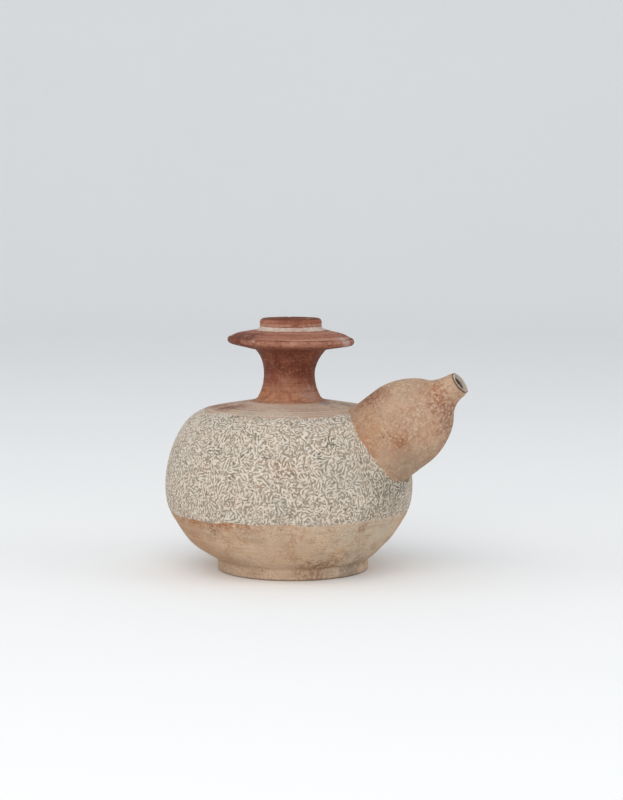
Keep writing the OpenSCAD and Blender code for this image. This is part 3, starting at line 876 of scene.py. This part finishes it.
def spout_earthenware(sizes, finish):
    """Sandy clay of the spout, flashed red round the nozzle, dark at the tip's edge"""
    material, masks = new_material("spout earthenware")
    edge = sizes.tip_radius
    # A darker line round the nozzle's edge, next to the pale ring
    dark_tip_line = masks.between(masks.distance(spout_tip(sizes, finish)), edge + 0.4 * MM, edge + 0.15 * MM)
    base = sandy_clay(masks, finish.spout, [
        (masks.mark((103, -6, 113), 9), 0.5, "#c3a88d"),
        (masks.stain((99, -9, 103), 16), 0.8, "#8a5540"),
        (masks.stain((93, -9, 111), 11), 0.7, "#a0653f"),
        (masks.stain((102, -2, 95), 15), 0.65, "#7f5346"),
        (masks.stain((99, 2, 84), 14), 0.7, "#8a6658"),
        (masks.mark((80, -25, 83), 10), 0.55, "#a26c4b"),
        (masks.stain((81, -25, 82), 6), 0.6, "#85532f"),
        (masks.stain((55, -11, 107), 15), 0.95, "#7c4a36"),
        (masks.stain((63, -17, 108), 12), 0.7, "#8a553f"),
        (masks.mark((58, -20, 98), 20), 0.35, "#9c7558"),
        (masks.mark((64, -27, 86), 13), 0.4, "#b98c66"),
        (masks.both(masks.mark((71, -27, 87), 8), masks.specks(2.2, 0.6, 9)), 0.7, "#5f4939"),
        (masks.mark((80, -10, 110), 22), 0.3, "#a39179"),
        (masks.both(dark_tip_line, masks.patches(5, 0.2, 0.45, 2.0, 21)), 0.9, "#55453b"),
    ])
    masks.dull(base, 0.88, 0.16)
    return material


def luting_clay(finish):
    """Clay pressed wet into the joint and smoothed, a little redder, with dark dirt and painted shade under
    the spout
    """
    material, masks = new_material("luting clay")
    base = sandy_clay(masks, finish.lute, [
        (masks.patches(5, 0.5, 0.6, 4.0, 8), 0.45, "#a06c48"),
        (masks.mark((61, -27, 81), 12), 0.45, "#b3764c"),
        # Dark dirt and painted shade on the ridge's underside beneath the spout
        (masks.mark((74, 2, 57), 13), 0.6, "#857c6e"),
        (masks.stain((74, 1, 57), 13), 0.9, "#605a4f"),
    ])
    masks.dull(base, 0.88, 0.16)
    return material


def hand_turn(obj, finish, material, lines=1.0, nick_depth=0.0, nick_size=5 * MM, sways=1.0):
    """Gives a turned piece its hand-made surface"""
    tree = bpy.data.node_groups.get("Hand-turned surface") or hand_turned_tree()
    run_tree(obj, tree, {
        "Sway direction": sway_direction(finish),
        "Foot sway": sways * finish.foot_sway,
        "Belly sway": sways * finish.belly_sway,
        "Mouth sway": sways * finish.mouth_sway,
        # The noise strays by half to either side
        "Unevenness": 2 * finish.unevenness,
        "Unevenness size": finish.uneven_size,
        "Line depth": lines * finish.line_depth,
        "Line pitch": finish.line_pitch,
        "Nick depth": nick_depth,
        "Nick size": nick_size,
        "Seed": float(finish.seed),
        "Material": material,
    })


def read_places(mesh):
    """Places of a mesh's vertices, one row each"""
    places = np.empty(3 * len(mesh.vertices), np.float32)
    mesh.vertices.foreach_get("co", places)
    return places.reshape(-1, 3)


def lay_spout(piece, sizes, finish):
    """Gives a piece that stands on +Z the spout's hand-made faults, and lays it along the spout's axis"""
    squeezed_at = 0.4 * sizes.bulb_back
    squeezed_over = 12 * MM
    throat = 0.79 * sizes.bulb_back
    throat_over = 6.5 * MM
    drawn_over = 28 * MM
    mesh = piece.data
    places = read_places(mesh)
    past_bulb = places[:, 2] - spout_length(sizes) + sizes.bulb_back
    squeezed = np.exp(-((past_bulb - squeezed_at) / squeezed_over) ** 2)
    places[:, :2] *= 1 - finish.bulb_squeeze / sizes.bulb_radius * squeezed[:, None]
    upper = 0.5 - 0.5 * places[:, 0] / np.hypot(places[:, 0], places[:, 1])
    places[:, 0] -= finish.throat_swell * upper * np.exp(-((past_bulb - throat) / throat_over) ** 2)
    drawn = np.clip(past_bulb / drawn_over, 0, 1)
    places[:, 2] += finish.nozzle_reach * drawn * drawn * (3 - 2 * drawn)
    mesh.vertices.foreach_set("co", places.ravel())
    mesh.transform(spout_frame(sizes, finish))


def bore(piece, radius, sizes, finish):
    """Cuts a round hole through a piece of the body's wall, along the spout's axis"""
    reach = SLIP_BOX[1].y
    start, end = reach / 2, 1.5 * reach
    rod = turned("rod", joined([[0, start]], line([radius, start], [radius, end]), [[0, end]]), segments=96)
    rod.data.transform(spout_frame(sizes, finish))
    cut(piece, rod)


class KENDI_OT_lower_body(bpy.types.Operator):
    """Foot ring and lower half of the body"""

    bl_idname = "kendi.lower_body"
    bl_label = "Lower body"

    def execute(self, context):
        sizes, finish = sizes_and_finish(context)
        material = buff_earthenware(finish)
        self.foot_ring(sizes, finish, material)
        self.bowl(sizes, finish, material)
        return {"FINISHED"}

    def foot_ring(self, sizes, finish, material):
        """Ring with a rounded tread, a slightly hollow side and a soft joint to the underside"""
        height = FOOT_BOX[1].z
        edge = FOOT_BOX[1].x
        inner = edge - sizes.foot_width
        tread = 1.2 * MM
        straight_from = 3 * MM
        inset = 0.3 * MM
        soft = 3.0 * MM
        sunk = MM
        under = Body(sizes).under(0, height, SLIP_BOX[0].z)
        joint_height = height + soft / 2
        joint_radius = np.interp(joint_height, [p[1] for p in under], [p[0] for p in under])
        joint = np.array([joint_radius, joint_height])
        hollow = np.array([edge - inset, height - soft / 2])
        corner = np.array([hollow[0], height + inset])
        round_tread = arc([edge - tread, tread], tread, -math.pi / 2, 0, step=0.3 * MM)
        top = joint_height + sunk
        outline = joined(
            line([inner, 0], round_tread[0]),
            round_tread,
            line([edge, straight_from], hollow),
            bend(hollow, corner, joint),
            [[joint_radius - sunk, top], [inner, top]],
            line([inner, top], [inner, 0])[:-1],
        )
        piece = turned("turned_foot", outline, segments=256)
        hand_turn(piece, finish, material, nick_depth=0.25 * MM)
        finish_piece(piece, "foot_ring")

    def bowl(self, sizes, finish, material):
        """Lower half with its floor, swollen a little low down and sunk in below the slip"""
        body = Body(sizes)
        foot = FOOT_BOX[1].z
        seam = SLIP_BOX[0].z
        floor = foot + sizes.floor_thickness
        swelling = finish.under_swell * ray(-sizes.under_angle)
        outer = [p + swelling * math.sin(2 * math.pi * (p[1] - foot) / (seam - foot))
                 for p in body.under(0, foot, seam, step=0.6 * MM)]
        inner = body.under(sizes.body_wall, floor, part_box("upper_body")[0].z, HIDDEN_STEP)
        outline = joined(
            line([0, foot], outer[0], HIDDEN_STEP),
            outer,
            inner[::-1],
            line(inner[0], [0, floor], HIDDEN_STEP),
        )
        piece = turned("bowl", outline, segments=320)
        hand_turn(piece, finish, material)
        finish_piece(piece, "lower_body")


class KENDI_OT_upper_body(bpy.types.Operator):
    """Upper half of the body, of which the shoulder shows"""

    bl_idname = "kendi.upper_body"
    bl_label = "Upper body"

    def execute(self, context):
        sizes, finish = sizes_and_finish(context)
        body = Body(sizes)
        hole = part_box("neck_lute")[1].y - sizes.neck_bead - sizes.neck_wall
        outer = body.belly(sizes.slip_thickness, SLIP_BOX[0].z, sizes.slip_angle, step=2 * MM)
        shoulder = body.shoulder(0, sizes.slip_angle, hole, step=0.6 * MM)
        swelling = finish.shoulder_swell / (shoulder[0][0] - hole)
        shoulder = [p + [0, swelling * (shoulder[0][0] - p[0])] for p in shoulder]
        inner_shoulder = body.shoulder(sizes.body_wall, sizes.slip_angle, hole, HIDDEN_STEP)
        inner = body.belly(sizes.body_wall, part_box("upper_body")[0].z, sizes.slip_angle, HIDDEN_STEP)
        outline = joined(outer, shoulder, inner_shoulder[::-1], inner[::-1])
        piece = turned("shoulder", outline, segments=320)
        hand_turn(piece, finish, shoulder_earthenware(finish))
        bore(piece, sizes.port_radius, sizes, finish)
        finish_piece(piece, "upper_body")
        return {"FINISHED"}


class KENDI_OT_pattern_slip(bpy.types.Operator):
    """Slip coat with its worm strokes"""

    bl_idname = "kendi.pattern_slip"
    bl_label = "Patterned slip"

    def execute(self, context):
        sizes, finish = sizes_and_finish(context)
        body = Body(sizes)
        seam = SLIP_BOX[0].z
        under_spout = MM
        outer = body.belly(0, seam, sizes.slip_angle, step=0.78 * MM)
        inner = body.belly(sizes.slip_thickness, seam, sizes.slip_angle, step=8 * MM)
        piece = turned("worm_coat", joined(outer, inner[::-1]), segments=780)
        hand_turn(piece, finish, None)
        bore(piece, sizes.bulb_radius - under_spout, sizes, finish)
        run_tree(piece, worm_slip_tree(finish.worm_period), {
            "Turn": finish.worm_turn, "Relief": finish.worm_relief, "Material": worm_slip(finish)})
        finish_piece(piece, "pattern_slip")
        return {"FINISHED"}


class KENDI_OT_neck_and_mouth(bpy.types.Operator):
    """Neck with its luting bead, flange, collar and the pale ring round the collar"""

    bl_idname = "kendi.neck_and_mouth"
    bl_label = "Neck and mouth"

    def execute(self, context):
        sizes, finish = sizes_and_finish(context)
        red = red_slip(finish)
        self.neck(sizes, finish, red)
        self.flange(sizes, finish, red)
        self.collar(sizes, finish, red)
        return {"FINISHED"}

    def neck_side(self, sizes, depth, step):
        """Side of the neck, from its foot to its top, at a depth under its face"""
        foot = NECK_BOX[0].z
        top = NECK_BOX[1].z
        waist = foot + sizes.neck_lower_height
        low_centre = [sizes.neck_waist + sizes.neck_lower_round, waist]
        high_centre = [sizes.neck_waist + sizes.neck_upper_round, waist]
        low_radius = sizes.neck_lower_round + depth
        high_radius = sizes.neck_upper_round + depth
        low_turn = math.asin((waist - foot) / low_radius)
        high_turn = math.asin((top - waist) / high_radius)
        return joined(
            arc(low_centre, low_radius, math.pi + low_turn, math.pi, step),
            arc(high_centre, high_radius, math.pi, math.pi - high_turn, step),
        )

    def neck(self, sizes, finish, red):
        """Waisted neck, a little sunk into the shoulder"""
        outer = self.neck_side(sizes, 0, step=0.7 * MM)
        inner = self.neck_side(sizes, sizes.neck_wall, step=2 * MM)
        sunk = np.array([0, MM])
        outline = joined([outer[0] - sunk], outer, inner[::-1], [inner[0] - sunk])
        piece = turned("waisted_neck", outline, segments=192)
        hand_turn(piece, finish, red)
        finish_piece(piece, "neck")
        self.neck_lute(sizes, finish, red, outer[0])

    def neck_lute(self, sizes, finish, red, corner):
        """Hollow fillet in the corner between shoulder and neck"""
        sink = 0.6 * MM
        wide = 1.3 * sizes.neck_bead
        corner = corner + [0, finish.shoulder_swell]
        start = corner + wide * np.array([1, -math.tan(sizes.shoulder_rise)])
        side = self.neck_side(sizes, 0, step=0.3 * MM)
        end = min(side, key=lambda p: abs(p[1] - corner[1] - wide))
        outline = joined(
            [corner - [2 * sink, sink], start - [0, sink]],
            bend(start, corner, end),
            [end - [2 * sink, 0]],
        )
        piece = turned("neck_fillet", outline, segments=192)
        hand_turn(piece, finish, red, lines=0.0)
        finish_piece(piece, "neck_lute")

    def tilt(self, piece, finish, start, edge):
        """Lets the flange hang a little in the direction of the sway, more the nearer its edge"""
        mesh = piece.data
        places = read_places(mesh)
        out = places @ np.array(sway_direction(finish))
        share = np.clip((np.hypot(places[:, 0], places[:, 1]) - start) / (edge - start), 0, 1)
        places[:, 2] -= math.tan(finish.mouth_tilt) * out * share
        mesh.vertices.foreach_set("co", places.ravel())

    def flange(self, sizes, finish, red):
        """Flange with its rolled lip, the groove above it and a shallow dome up to the collar"""
        bottom, top = FLANGE_BOX[0].z, FLANGE_BOX[1].z
        edge = FLANGE_BOX[1].x + finish.lip_swell
        lip_radius = sizes.lip_radius + finish.lip_swell / 2
        lip_height = bottom + sizes.flange_rise + sizes.lip_radius - finish.lip_swell / 2
        lip = np.array([edge - lip_radius, lip_height])
        start = sizes.mouth_radius + sizes.collar_wall + sizes.dome_start
        dome = np.array([0, top - math.sqrt(sizes.dome_radius ** 2 - start ** 2)])
        groove_at = edge - sizes.groove_inset
        groove_turn = math.acos(groove_at / sizes.dome_radius)
        groove = dome + sizes.dome_radius * ray(groove_turn)
        groove_share = sizes.groove_radius / sizes.dome_radius
        neck_top = self.neck_side(sizes, 0, step=MM)[-1]
        inside = self.neck_side(sizes, sizes.neck_wall, step=MM)[-1][0]
        lip_start = math.radians(-80)
        lip_end = math.atan2(*(groove - lip)[::-1]) - 0.6 * sizes.groove_radius / lip_radius
        lip_side = arc(lip, lip_radius, lip_start, lip_end, step=0.3 * MM)
        true_dome = arc(dome, sizes.dome_radius, groove_turn + groove_share,
                        math.acos(start / sizes.dome_radius), step=0.6 * MM)

        def swollen(point):
            """A point of the dome with its share of the swelling, which is most near the edge"""
            share = math.sin(math.pi * ((point[0] - start) / (groove_at - start)) ** 2) ** 2
            return point + [0, finish.dome_swell * share]

        dome_side = [swollen(point) for point in true_dome]
        sunk = bottom - 0.8 * MM
        outline = joined(
            line([inside, sunk], [neck_top[0] - MM, sunk]),
            line([neck_top[0], bottom], lip_side[0]),
            lip_side,
            [groove - [sizes.groove_radius / 2, sizes.groove_radius]],
            dome_side,
            line(dome_side[-1], [sizes.mouth_radius, top]),
            line([sizes.mouth_radius, top], [inside, sunk], step=2 * MM)[:-1],
        )
        piece = turned("flanged_mouth", outline, segments=288)
        self.tilt(piece, finish, start, edge)
        hand_turn(piece, finish, red, nick_depth=0.45 * MM, nick_size=4 * MM)
        finish_piece(piece, "flange")

    def collar(self, sizes, finish, red):
        """Low collar with a rounded rim"""
        bottom, top = COLLAR_BOX[0].z, COLLAR_BOX[1].z
        mouth = sizes.mouth_radius
        foot = mouth + sizes.collar_wall - finish.collar_inset
        rim = np.array([foot + finish.collar_flare - sizes.rim_round, top - sizes.rim_round])
        rim_start, rim_end = math.radians(5), math.radians(85)
        rim_side = arc(rim, sizes.rim_round, rim_start, rim_end, step=0.3 * MM)
        soft = 0.3 * MM
        sunk = 0.5 * MM
        outline = joined(
            line([mouth, bottom - sunk], [foot, bottom - sunk]),
            line([foot, bottom], rim_side[0], step=0.6 * MM),
            rim_side,
            [[mouth + soft, top], [mouth, top - soft]],
            line([mouth, top - 2 * soft], [mouth, bottom])[:-1],
        )
        piece = turned("collar", outline, segments=192)
        hand_turn(piece, finish, red, nick_depth=0.3 * MM, nick_size=4 * MM)
        finish_piece(piece, "mouth_collar")
        self.pale_ring(sizes, finish, np.array([foot, bottom]))

    def pale_ring(self, sizes, finish, corner):
        """Hollow fillet of pale slip in the corner between collar and flange"""
        sink = 0.5 * MM
        bead = sizes.collar_bead + finish.ring_swell
        side = [corner + bead * np.array([1 - math.sin(t), 1 - math.cos(t)])
                for t in np.linspace(0, math.pi / 2, 8)]
        outline = joined([corner - [sink, sink], side[0] - [0, sink]], side, [side[-1] - [sink, 0]])
        piece = turned("pale_ring", outline, segments=192)
        hand_turn(piece, finish, pale_slip(sizes, finish), lines=0.0, nick_depth=0.3 * MM, nick_size=6 * MM)
        finish_piece(piece, "collar_slip")


class KENDI_OT_spout(bpy.types.Operator):
    """Bulbous spout, the ridge of luting clay round its root and the pale ring at its tip"""

    bl_idname = "kendi.spout"
    bl_label = "Spout"

    def execute(self, context):
        sizes, finish = sizes_and_finish(context)
        self.bulb(sizes, finish)
        self.tip_ring(sizes, finish)
        self.ridge(sizes, finish)
        return {"FINISHED"}

    def side(self, sizes, bulb_round, throat_round, nozzle, start, step):
        """Side of bulb and throat, from the root to where the nozzle starts"""
        fullest = spout_length(sizes) - sizes.bulb_back
        bulb = np.array([sizes.bulb_radius - sizes.bulb_round, fullest])
        across = nozzle + throat_round - bulb[0]
        along = math.sqrt((bulb_round + throat_round) ** 2 - across ** 2)
        throat = bulb + [across, along]
        turn = math.atan2(along, across)
        return joined(
            line([bulb[0] + bulb_round, start], [bulb[0] + bulb_round, fullest], step),
            arc(bulb, bulb_round, 0, turn, step),
            arc(throat, throat_round, math.pi + turn, math.pi, step),
        )

    def bulb(self, sizes, finish):
        """Bulb and nozzle, hollow, cut to the curve of the body"""
        tip = spout_length(sizes)
        root = SLIP_BOX[1].y - sizes.bulb_radius
        bore_radius = sizes.bore_radius
        outer = self.side(sizes, sizes.bulb_round, sizes.throat_round, sizes.nozzle_radius, root,
                          step=0.8 * MM)
        inner = self.side(sizes, sizes.bulb_round - sizes.spout_wall,
                          sizes.throat_round + sizes.nozzle_radius - bore_radius, bore_radius, root,
                          step=2 * MM)
        rim = tip - sizes.lip_proud
        seat = tip - sizes.lip_ring
        ring = sizes.tip_radius - sizes.lip_edge
        outline = joined(
            outer,
            line(outer[-1], [sizes.tip_radius, rim], step=0.7 * MM),
            [[ring, rim], [ring, seat]],
            line([bore_radius, seat], inner[-1])[:-1],
            inner[::-1],
        )
        piece = turned("bulb_spout", outline, segments=224)
        clay = spout_earthenware(sizes, finish)
        hand_turn(piece, finish, clay, lines=0.6, nick_depth=0.15 * MM, sways=0.0)
        lay_spout(piece, sizes, finish)
        cut(piece, self.core(sizes, finish))
        finish_piece(piece, "spout")

    def core(self, sizes, finish):
        """The body under its slip as one full form, for cutting"""
        body = Body(sizes)
        foot = FOOT_BOX[1].z
        depth = sizes.slip_thickness
        step = 2 * MM
        outline = joined(
            [[0, foot]],
            body.under(depth, foot, sizes.belly_height, step),
            body.belly(depth, sizes.belly_height, sizes.slip_angle, step),
            body.shoulder(depth, sizes.slip_angle, 0, step),
        )
        core = turned("core", outline, segments=256)
        hand_turn(core, finish, None)
        return core

    def tip_ring(self, sizes, finish):
        """Ring with soft edges and a flared mouth, in the seat at the nozzle's tip"""
        tip = spout_length(sizes)
        seat = tip - sizes.lip_ring
        outer = sizes.tip_radius - sizes.lip_edge
        inner = sizes.bore_radius
        soft = 0.3 * MM
        rim = outer - sizes.lip_rim
        flare_start = math.radians(140)
        outline = joined(
            [[inner, seat], [outer, seat]],
            arc([outer - soft, tip - soft], soft, 0, math.pi / 2, step=0.1 * MM),
            arc([rim + soft, tip - soft], soft, math.pi / 2, flare_start, step=0.1 * MM),
            line([rim, tip - soft], [inner, tip - sizes.lip_flare], step=0.4 * MM),
        )
        piece = turned("tip_ring", outline, segments=128)
        pale = bpy.data.materials["pale slip"]
        hand_turn(piece, finish, pale, lines=0.0, nick_depth=0.15 * MM, nick_size=2 * MM, sways=0.0)
        lay_spout(piece, sizes, finish)
        finish_piece(piece, "spout_lip")

    def root_curve(self, sizes, turns, frame_matrix):
        """Where the root of the bulb meets the body, one point for each turn about the spout's axis"""
        body = Body(sizes)
        profile = np.array(joined(
            body.belly(0, sizes.belly_height, sizes.slip_angle, step=0.5 * MM),
            body.shoulder(0, sizes.slip_angle, 0),
        ))
        around = np.stack([sizes.bulb_radius * np.cos(turns), sizes.bulb_radius * np.sin(turns)], axis=-1)
        low = np.full(len(turns), SLIP_BOX[1].y - sizes.bulb_radius)
        high = low + 2 * sizes.bulb_radius
        halvings = 40
        for _ in range(halvings):
            middle = (low + high) / 2
            local = np.column_stack([around, middle, np.ones(len(turns))])
            points = (local @ frame_matrix.T)[:, :3]
            radius = np.hypot(points[:, 0], points[:, 1])
            top = np.interp(radius, profile[::-1, 0], profile[::-1, 1], right=-1.0)
            inside = points[:, 2] < top
            low = np.where(inside, middle, low)
            high = np.where(inside, high, middle)
        return points

    def ridge(self, sizes, finish):
        """A soft bead swept along the root, a little sunk into body and spout"""
        count = 360
        turns = np.linspace(0, 2 * math.pi, count, endpoint=False)
        frame_matrix = np.array(spout_frame(sizes, finish, swayed=False))
        root = self.root_curve(sizes, turns, frame_matrix)
        axis = frame_matrix[:3, 2]
        start = frame_matrix[:3, 3]
        from_axis = root - start
        out = from_axis - np.outer(from_axis @ axis, axis)
        out /= np.linalg.norm(out, axis=1, keepdims=True)
        along = np.roll(root, -1, axis=0) - np.roll(root, 1, axis=0)
        along /= np.linalg.norm(along, axis=1, keepdims=True)
        radius = np.hypot(root[:, 0], root[:, 1])
        slope = Body(sizes).slope(radius, root[:, 2])[:, None]
        normal = np.cos(slope) * root * [1, 1, 0] / radius[:, None] + np.sin(slope) * [0, 0, 1]
        away = np.cross(normal, along)
        away *= np.sign(np.sum(away * out, axis=1, keepdims=True))
        width, height = self.ridge_sizes(sizes, turns)
        sink = 0.9 * MM
        overlap = 1.15
        hollow = 0.42
        rows = [root - sink * (normal + out), root + away * width * overlap - sink * normal]
        for t in np.linspace(0, math.pi / 2, 7):
            bulge = 1.0 - hollow * math.sin(2 * t)
            rows.append(root + bulge * (away * width * math.cos(t) + axis * height * math.sin(t)))
        rows.append(root + axis * height * overlap - sink * out)
        mesh = ring_mesh("luting_ridge", np.stack(rows, axis=1), range(len(rows)))
        piece = placed("luting_ridge", mesh)
        with mending(mesh) as work:
            bmesh.ops.recalc_face_normals(work, faces=work.faces)
        hand_turn(piece, finish, luting_clay(finish), lines=0.0, nick_depth=0.3 * MM, nick_size=4 * MM)
        finish_piece(piece, "spout_lute")

    def ridge_sizes(self, sizes, turns):
        """Width and height of the ridge at each turn: uneven, and pressed, smeared or wiped off in places"""
        waviness = 0.36
        waves_per_turn = (3, 7, 13, 29, 43)
        lag = 40
        waver = 1.0 + sum(waviness / np.sqrt(n) * np.sin(n * turns + n * n) for n in waves_per_turn)

        def about(turn, spread):
            """A share that is 1 at a turn and dies out to both sides"""
            away_from = (turns - turn + math.pi) % (2 * math.pi) - math.pi
            return np.exp(-(away_from / spread) ** 2)

        pressed_in = 0.5 * about(0.45, 0.45)
        smeared = 1.4 * about(4.42, 0.4)
        wiped_off = 0.65 * about(math.pi, 0.7) + 0.7 * about(-0.2, 0.35)
        width = sizes.lute_width * ((waver + pressed_in + smeared) * (1 - wiped_off))[:, None]
        height = sizes.lute_height * (np.roll(waver, lag) + 0.3 * pressed_in)[:, None]
        return width, height


class KENDI_OT_seam(bpy.types.Operator):
    """Bead of clay inside the seam of the body, which keeps its solid and gets its clay"""

    bl_idname = "kendi.seam"
    bl_label = "Seam"

    def execute(self, context):
        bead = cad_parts["seam_lute"]
        bead.data.materials.clear()
        bead.data.materials.append(bpy.data.materials["luting clay"])
        return {"FINISHED"}


class KENDI_OT_stage(bpy.types.Operator):
    """Pale floor, soft light, and a camera that looks as the photograph does"""

    bl_idname = "kendi.stage"
    bl_label = "Stage"

    image = (623, 800)
    # Where the middle of the vessel lies in the image, in pixels
    aim_pixel = (290.5, 442.6)
    focal_pixels = 2051.3
    aim = Vector((0, 0, 0.076))
    distance = 1.2335
    azimuth = math.radians(24)
    elevation = math.radians(6.806)
    sensor = 36.0
    lamp_distance = 1.9
    lamp_colour = (1.0, 0.99, 0.975)
    room_colour = (0.95, 1.0, 1.06, 1.0)
    room_strength = 0.66

    def execute(self, context):
        self.camera(context.scene)
        self.floor()
        self.light(context.scene)
        return {"FINISHED"}

    def towards(self, azimuth, elevation):
        """Direction from the vessel at an azimuth and an elevation"""
        level = math.cos(elevation)
        return Vector((math.sin(azimuth) * level, -math.cos(azimuth) * level, math.sin(elevation)))

    def camera(self, scene):
        """A camera that sees the vessel where the image has it"""
        data = bpy.data.cameras.new("camera")
        data.sensor_width = self.sensor
        data.lens = self.focal_pixels * self.sensor / max(self.image)
        data.clip_start = 0.05
        data.clip_end = 20
        camera = bpy.data.objects.new("camera", data)
        scene.collection.objects.link(camera)
        back = self.towards(self.azimuth, self.elevation)
        right = math.atan((self.image[0] / 2 - self.aim_pixel[0]) / self.focal_pixels)
        up = math.atan((self.aim_pixel[1] - self.image[1] / 2) / self.focal_pixels)
        straight = (-back).to_track_quat("-Z", "Y").to_matrix()
        turned_aside = Euler((up, -right, 0)).to_matrix()
        place = Matrix.Translation(self.aim + back * self.distance)
        camera.matrix_world = place @ (straight @ turned_aside).to_4x4()
        scene.camera = camera

    def floor(self):
        """A floor that sweeps up into a backdrop behind the vessel"""
        half_width = 4.0
        front = -4.0
        back = 2.2
        sweep = 1.2
        top = 4.0
        run = joined(
            line([front, 0], [back, 0], step=0.5),
            arc([back, sweep], sweep, -math.pi / 2, 0, step=0.1),
            line([back + sweep, sweep], [back + sweep, top], step=0.5),
        )
        away = -self.towards(self.azimuth, 0)
        side = Vector((-away.y, away.x, 0))
        places = [away * p[0] + side * s * half_width + Vector((0, 0, p[1])) for p in run for s in (1, -1)]
        faces = [(2 * i, 2 * i + 1, 2 * i + 3, 2 * i + 2) for i in range(len(run) - 1)]
        mesh = bpy.data.meshes.new("floor")
        mesh.from_pydata([tuple(p) for p in places], [], faces)
        mesh.shade_smooth()
        material, masks = new_material("pale studio paper")
        base = masks.coats(linear("#f7f6f4"), [(masks.patches(200, 0.3, 0.8, 2.0, 0), 0.15, "#f1f2f2")])
        masks.dull(base, 0.9, 0.02)
        mesh.materials.append(material)
        placed("floor", mesh)

    def light(self, scene):
        """A large soft light above the front, weaker ones on each side and low in front, and an even room"""
        for name, azimuth, elevation, size, power in (
            ("key light", 8, 42, 1.8, 14.3),
            ("left light", -60, 25, 1.2, 4.4),
            ("right light", 95, 25, 1.2, 4.8),
            ("low light", 24, 8, 1.2, 3.5),
        ):
            data = bpy.data.lights.new(name, "AREA")
            data.shape = "SQUARE"
            data.size = size
            data.energy = power
            data.color = self.lamp_colour
            lamp = bpy.data.objects.new(name, data)
            back = self.towards(math.radians(azimuth), math.radians(elevation))
            facing = back.to_track_quat("Z", "Y").to_matrix().to_4x4()
            lamp.matrix_world = Matrix.Translation(self.aim + back * self.lamp_distance) @ facing
            scene.collection.objects.link(lamp)
        world = bpy.data.worlds.new("even room")
        world.use_nodes = True
        room = world.node_tree.nodes["Background"].inputs
        room["Color"].default_value = self.room_colour
        room["Strength"].default_value = self.room_strength
        scene.world = world
        scene.view_settings.view_transform = "Standard"


class KENDI_PT_panel(bpy.types.Panel):
    """Lists the steps and their values"""

    bl_idname = "KENDI_PT_panel"
    bl_label = "Kendi"
    bl_space_type = "VIEW_3D"
    bl_region_type = "UI"
    bl_category = "Kendi"

    def draw(self, context):
        for step in STEPS:
            self.layout.operator(step.bl_idname)
        for group in (context.scene.kendi_sizes, context.scene.kendi_finish):
            for name in group.__annotations__:
                self.layout.prop(group, name)


STEPS = (KENDI_OT_stage, KENDI_OT_lower_body, KENDI_OT_upper_body, KENDI_OT_pattern_slip,
         KENDI_OT_neck_and_mouth, KENDI_OT_spout, KENDI_OT_seam)
CLASSES = (KendiSizes, KendiFinish, *STEPS, KENDI_PT_panel)


def register():
    for cls in CLASSES:
        bpy.utils.register_class(cls)
    bpy.types.Scene.kendi_sizes = PointerProperty(type=KendiSizes)
    bpy.types.Scene.kendi_finish = PointerProperty(type=KendiFinish)


def unregister():
    del bpy.types.Scene.kendi_finish
    del bpy.types.Scene.kendi_sizes
    for cls in reversed(CLASSES):
        bpy.utils.unregister_class(cls)


def main():
    register()
    bpy.ops.kendi.stage()
    bpy.ops.kendi.lower_body()
    bpy.ops.kendi.upper_body()
    bpy.ops.kendi.pattern_slip()
    bpy.ops.kendi.neck_and_mouth()
    bpy.ops.kendi.spout()
    bpy.ops.kendi.seam()


if __name__ == "__main__":
    main()
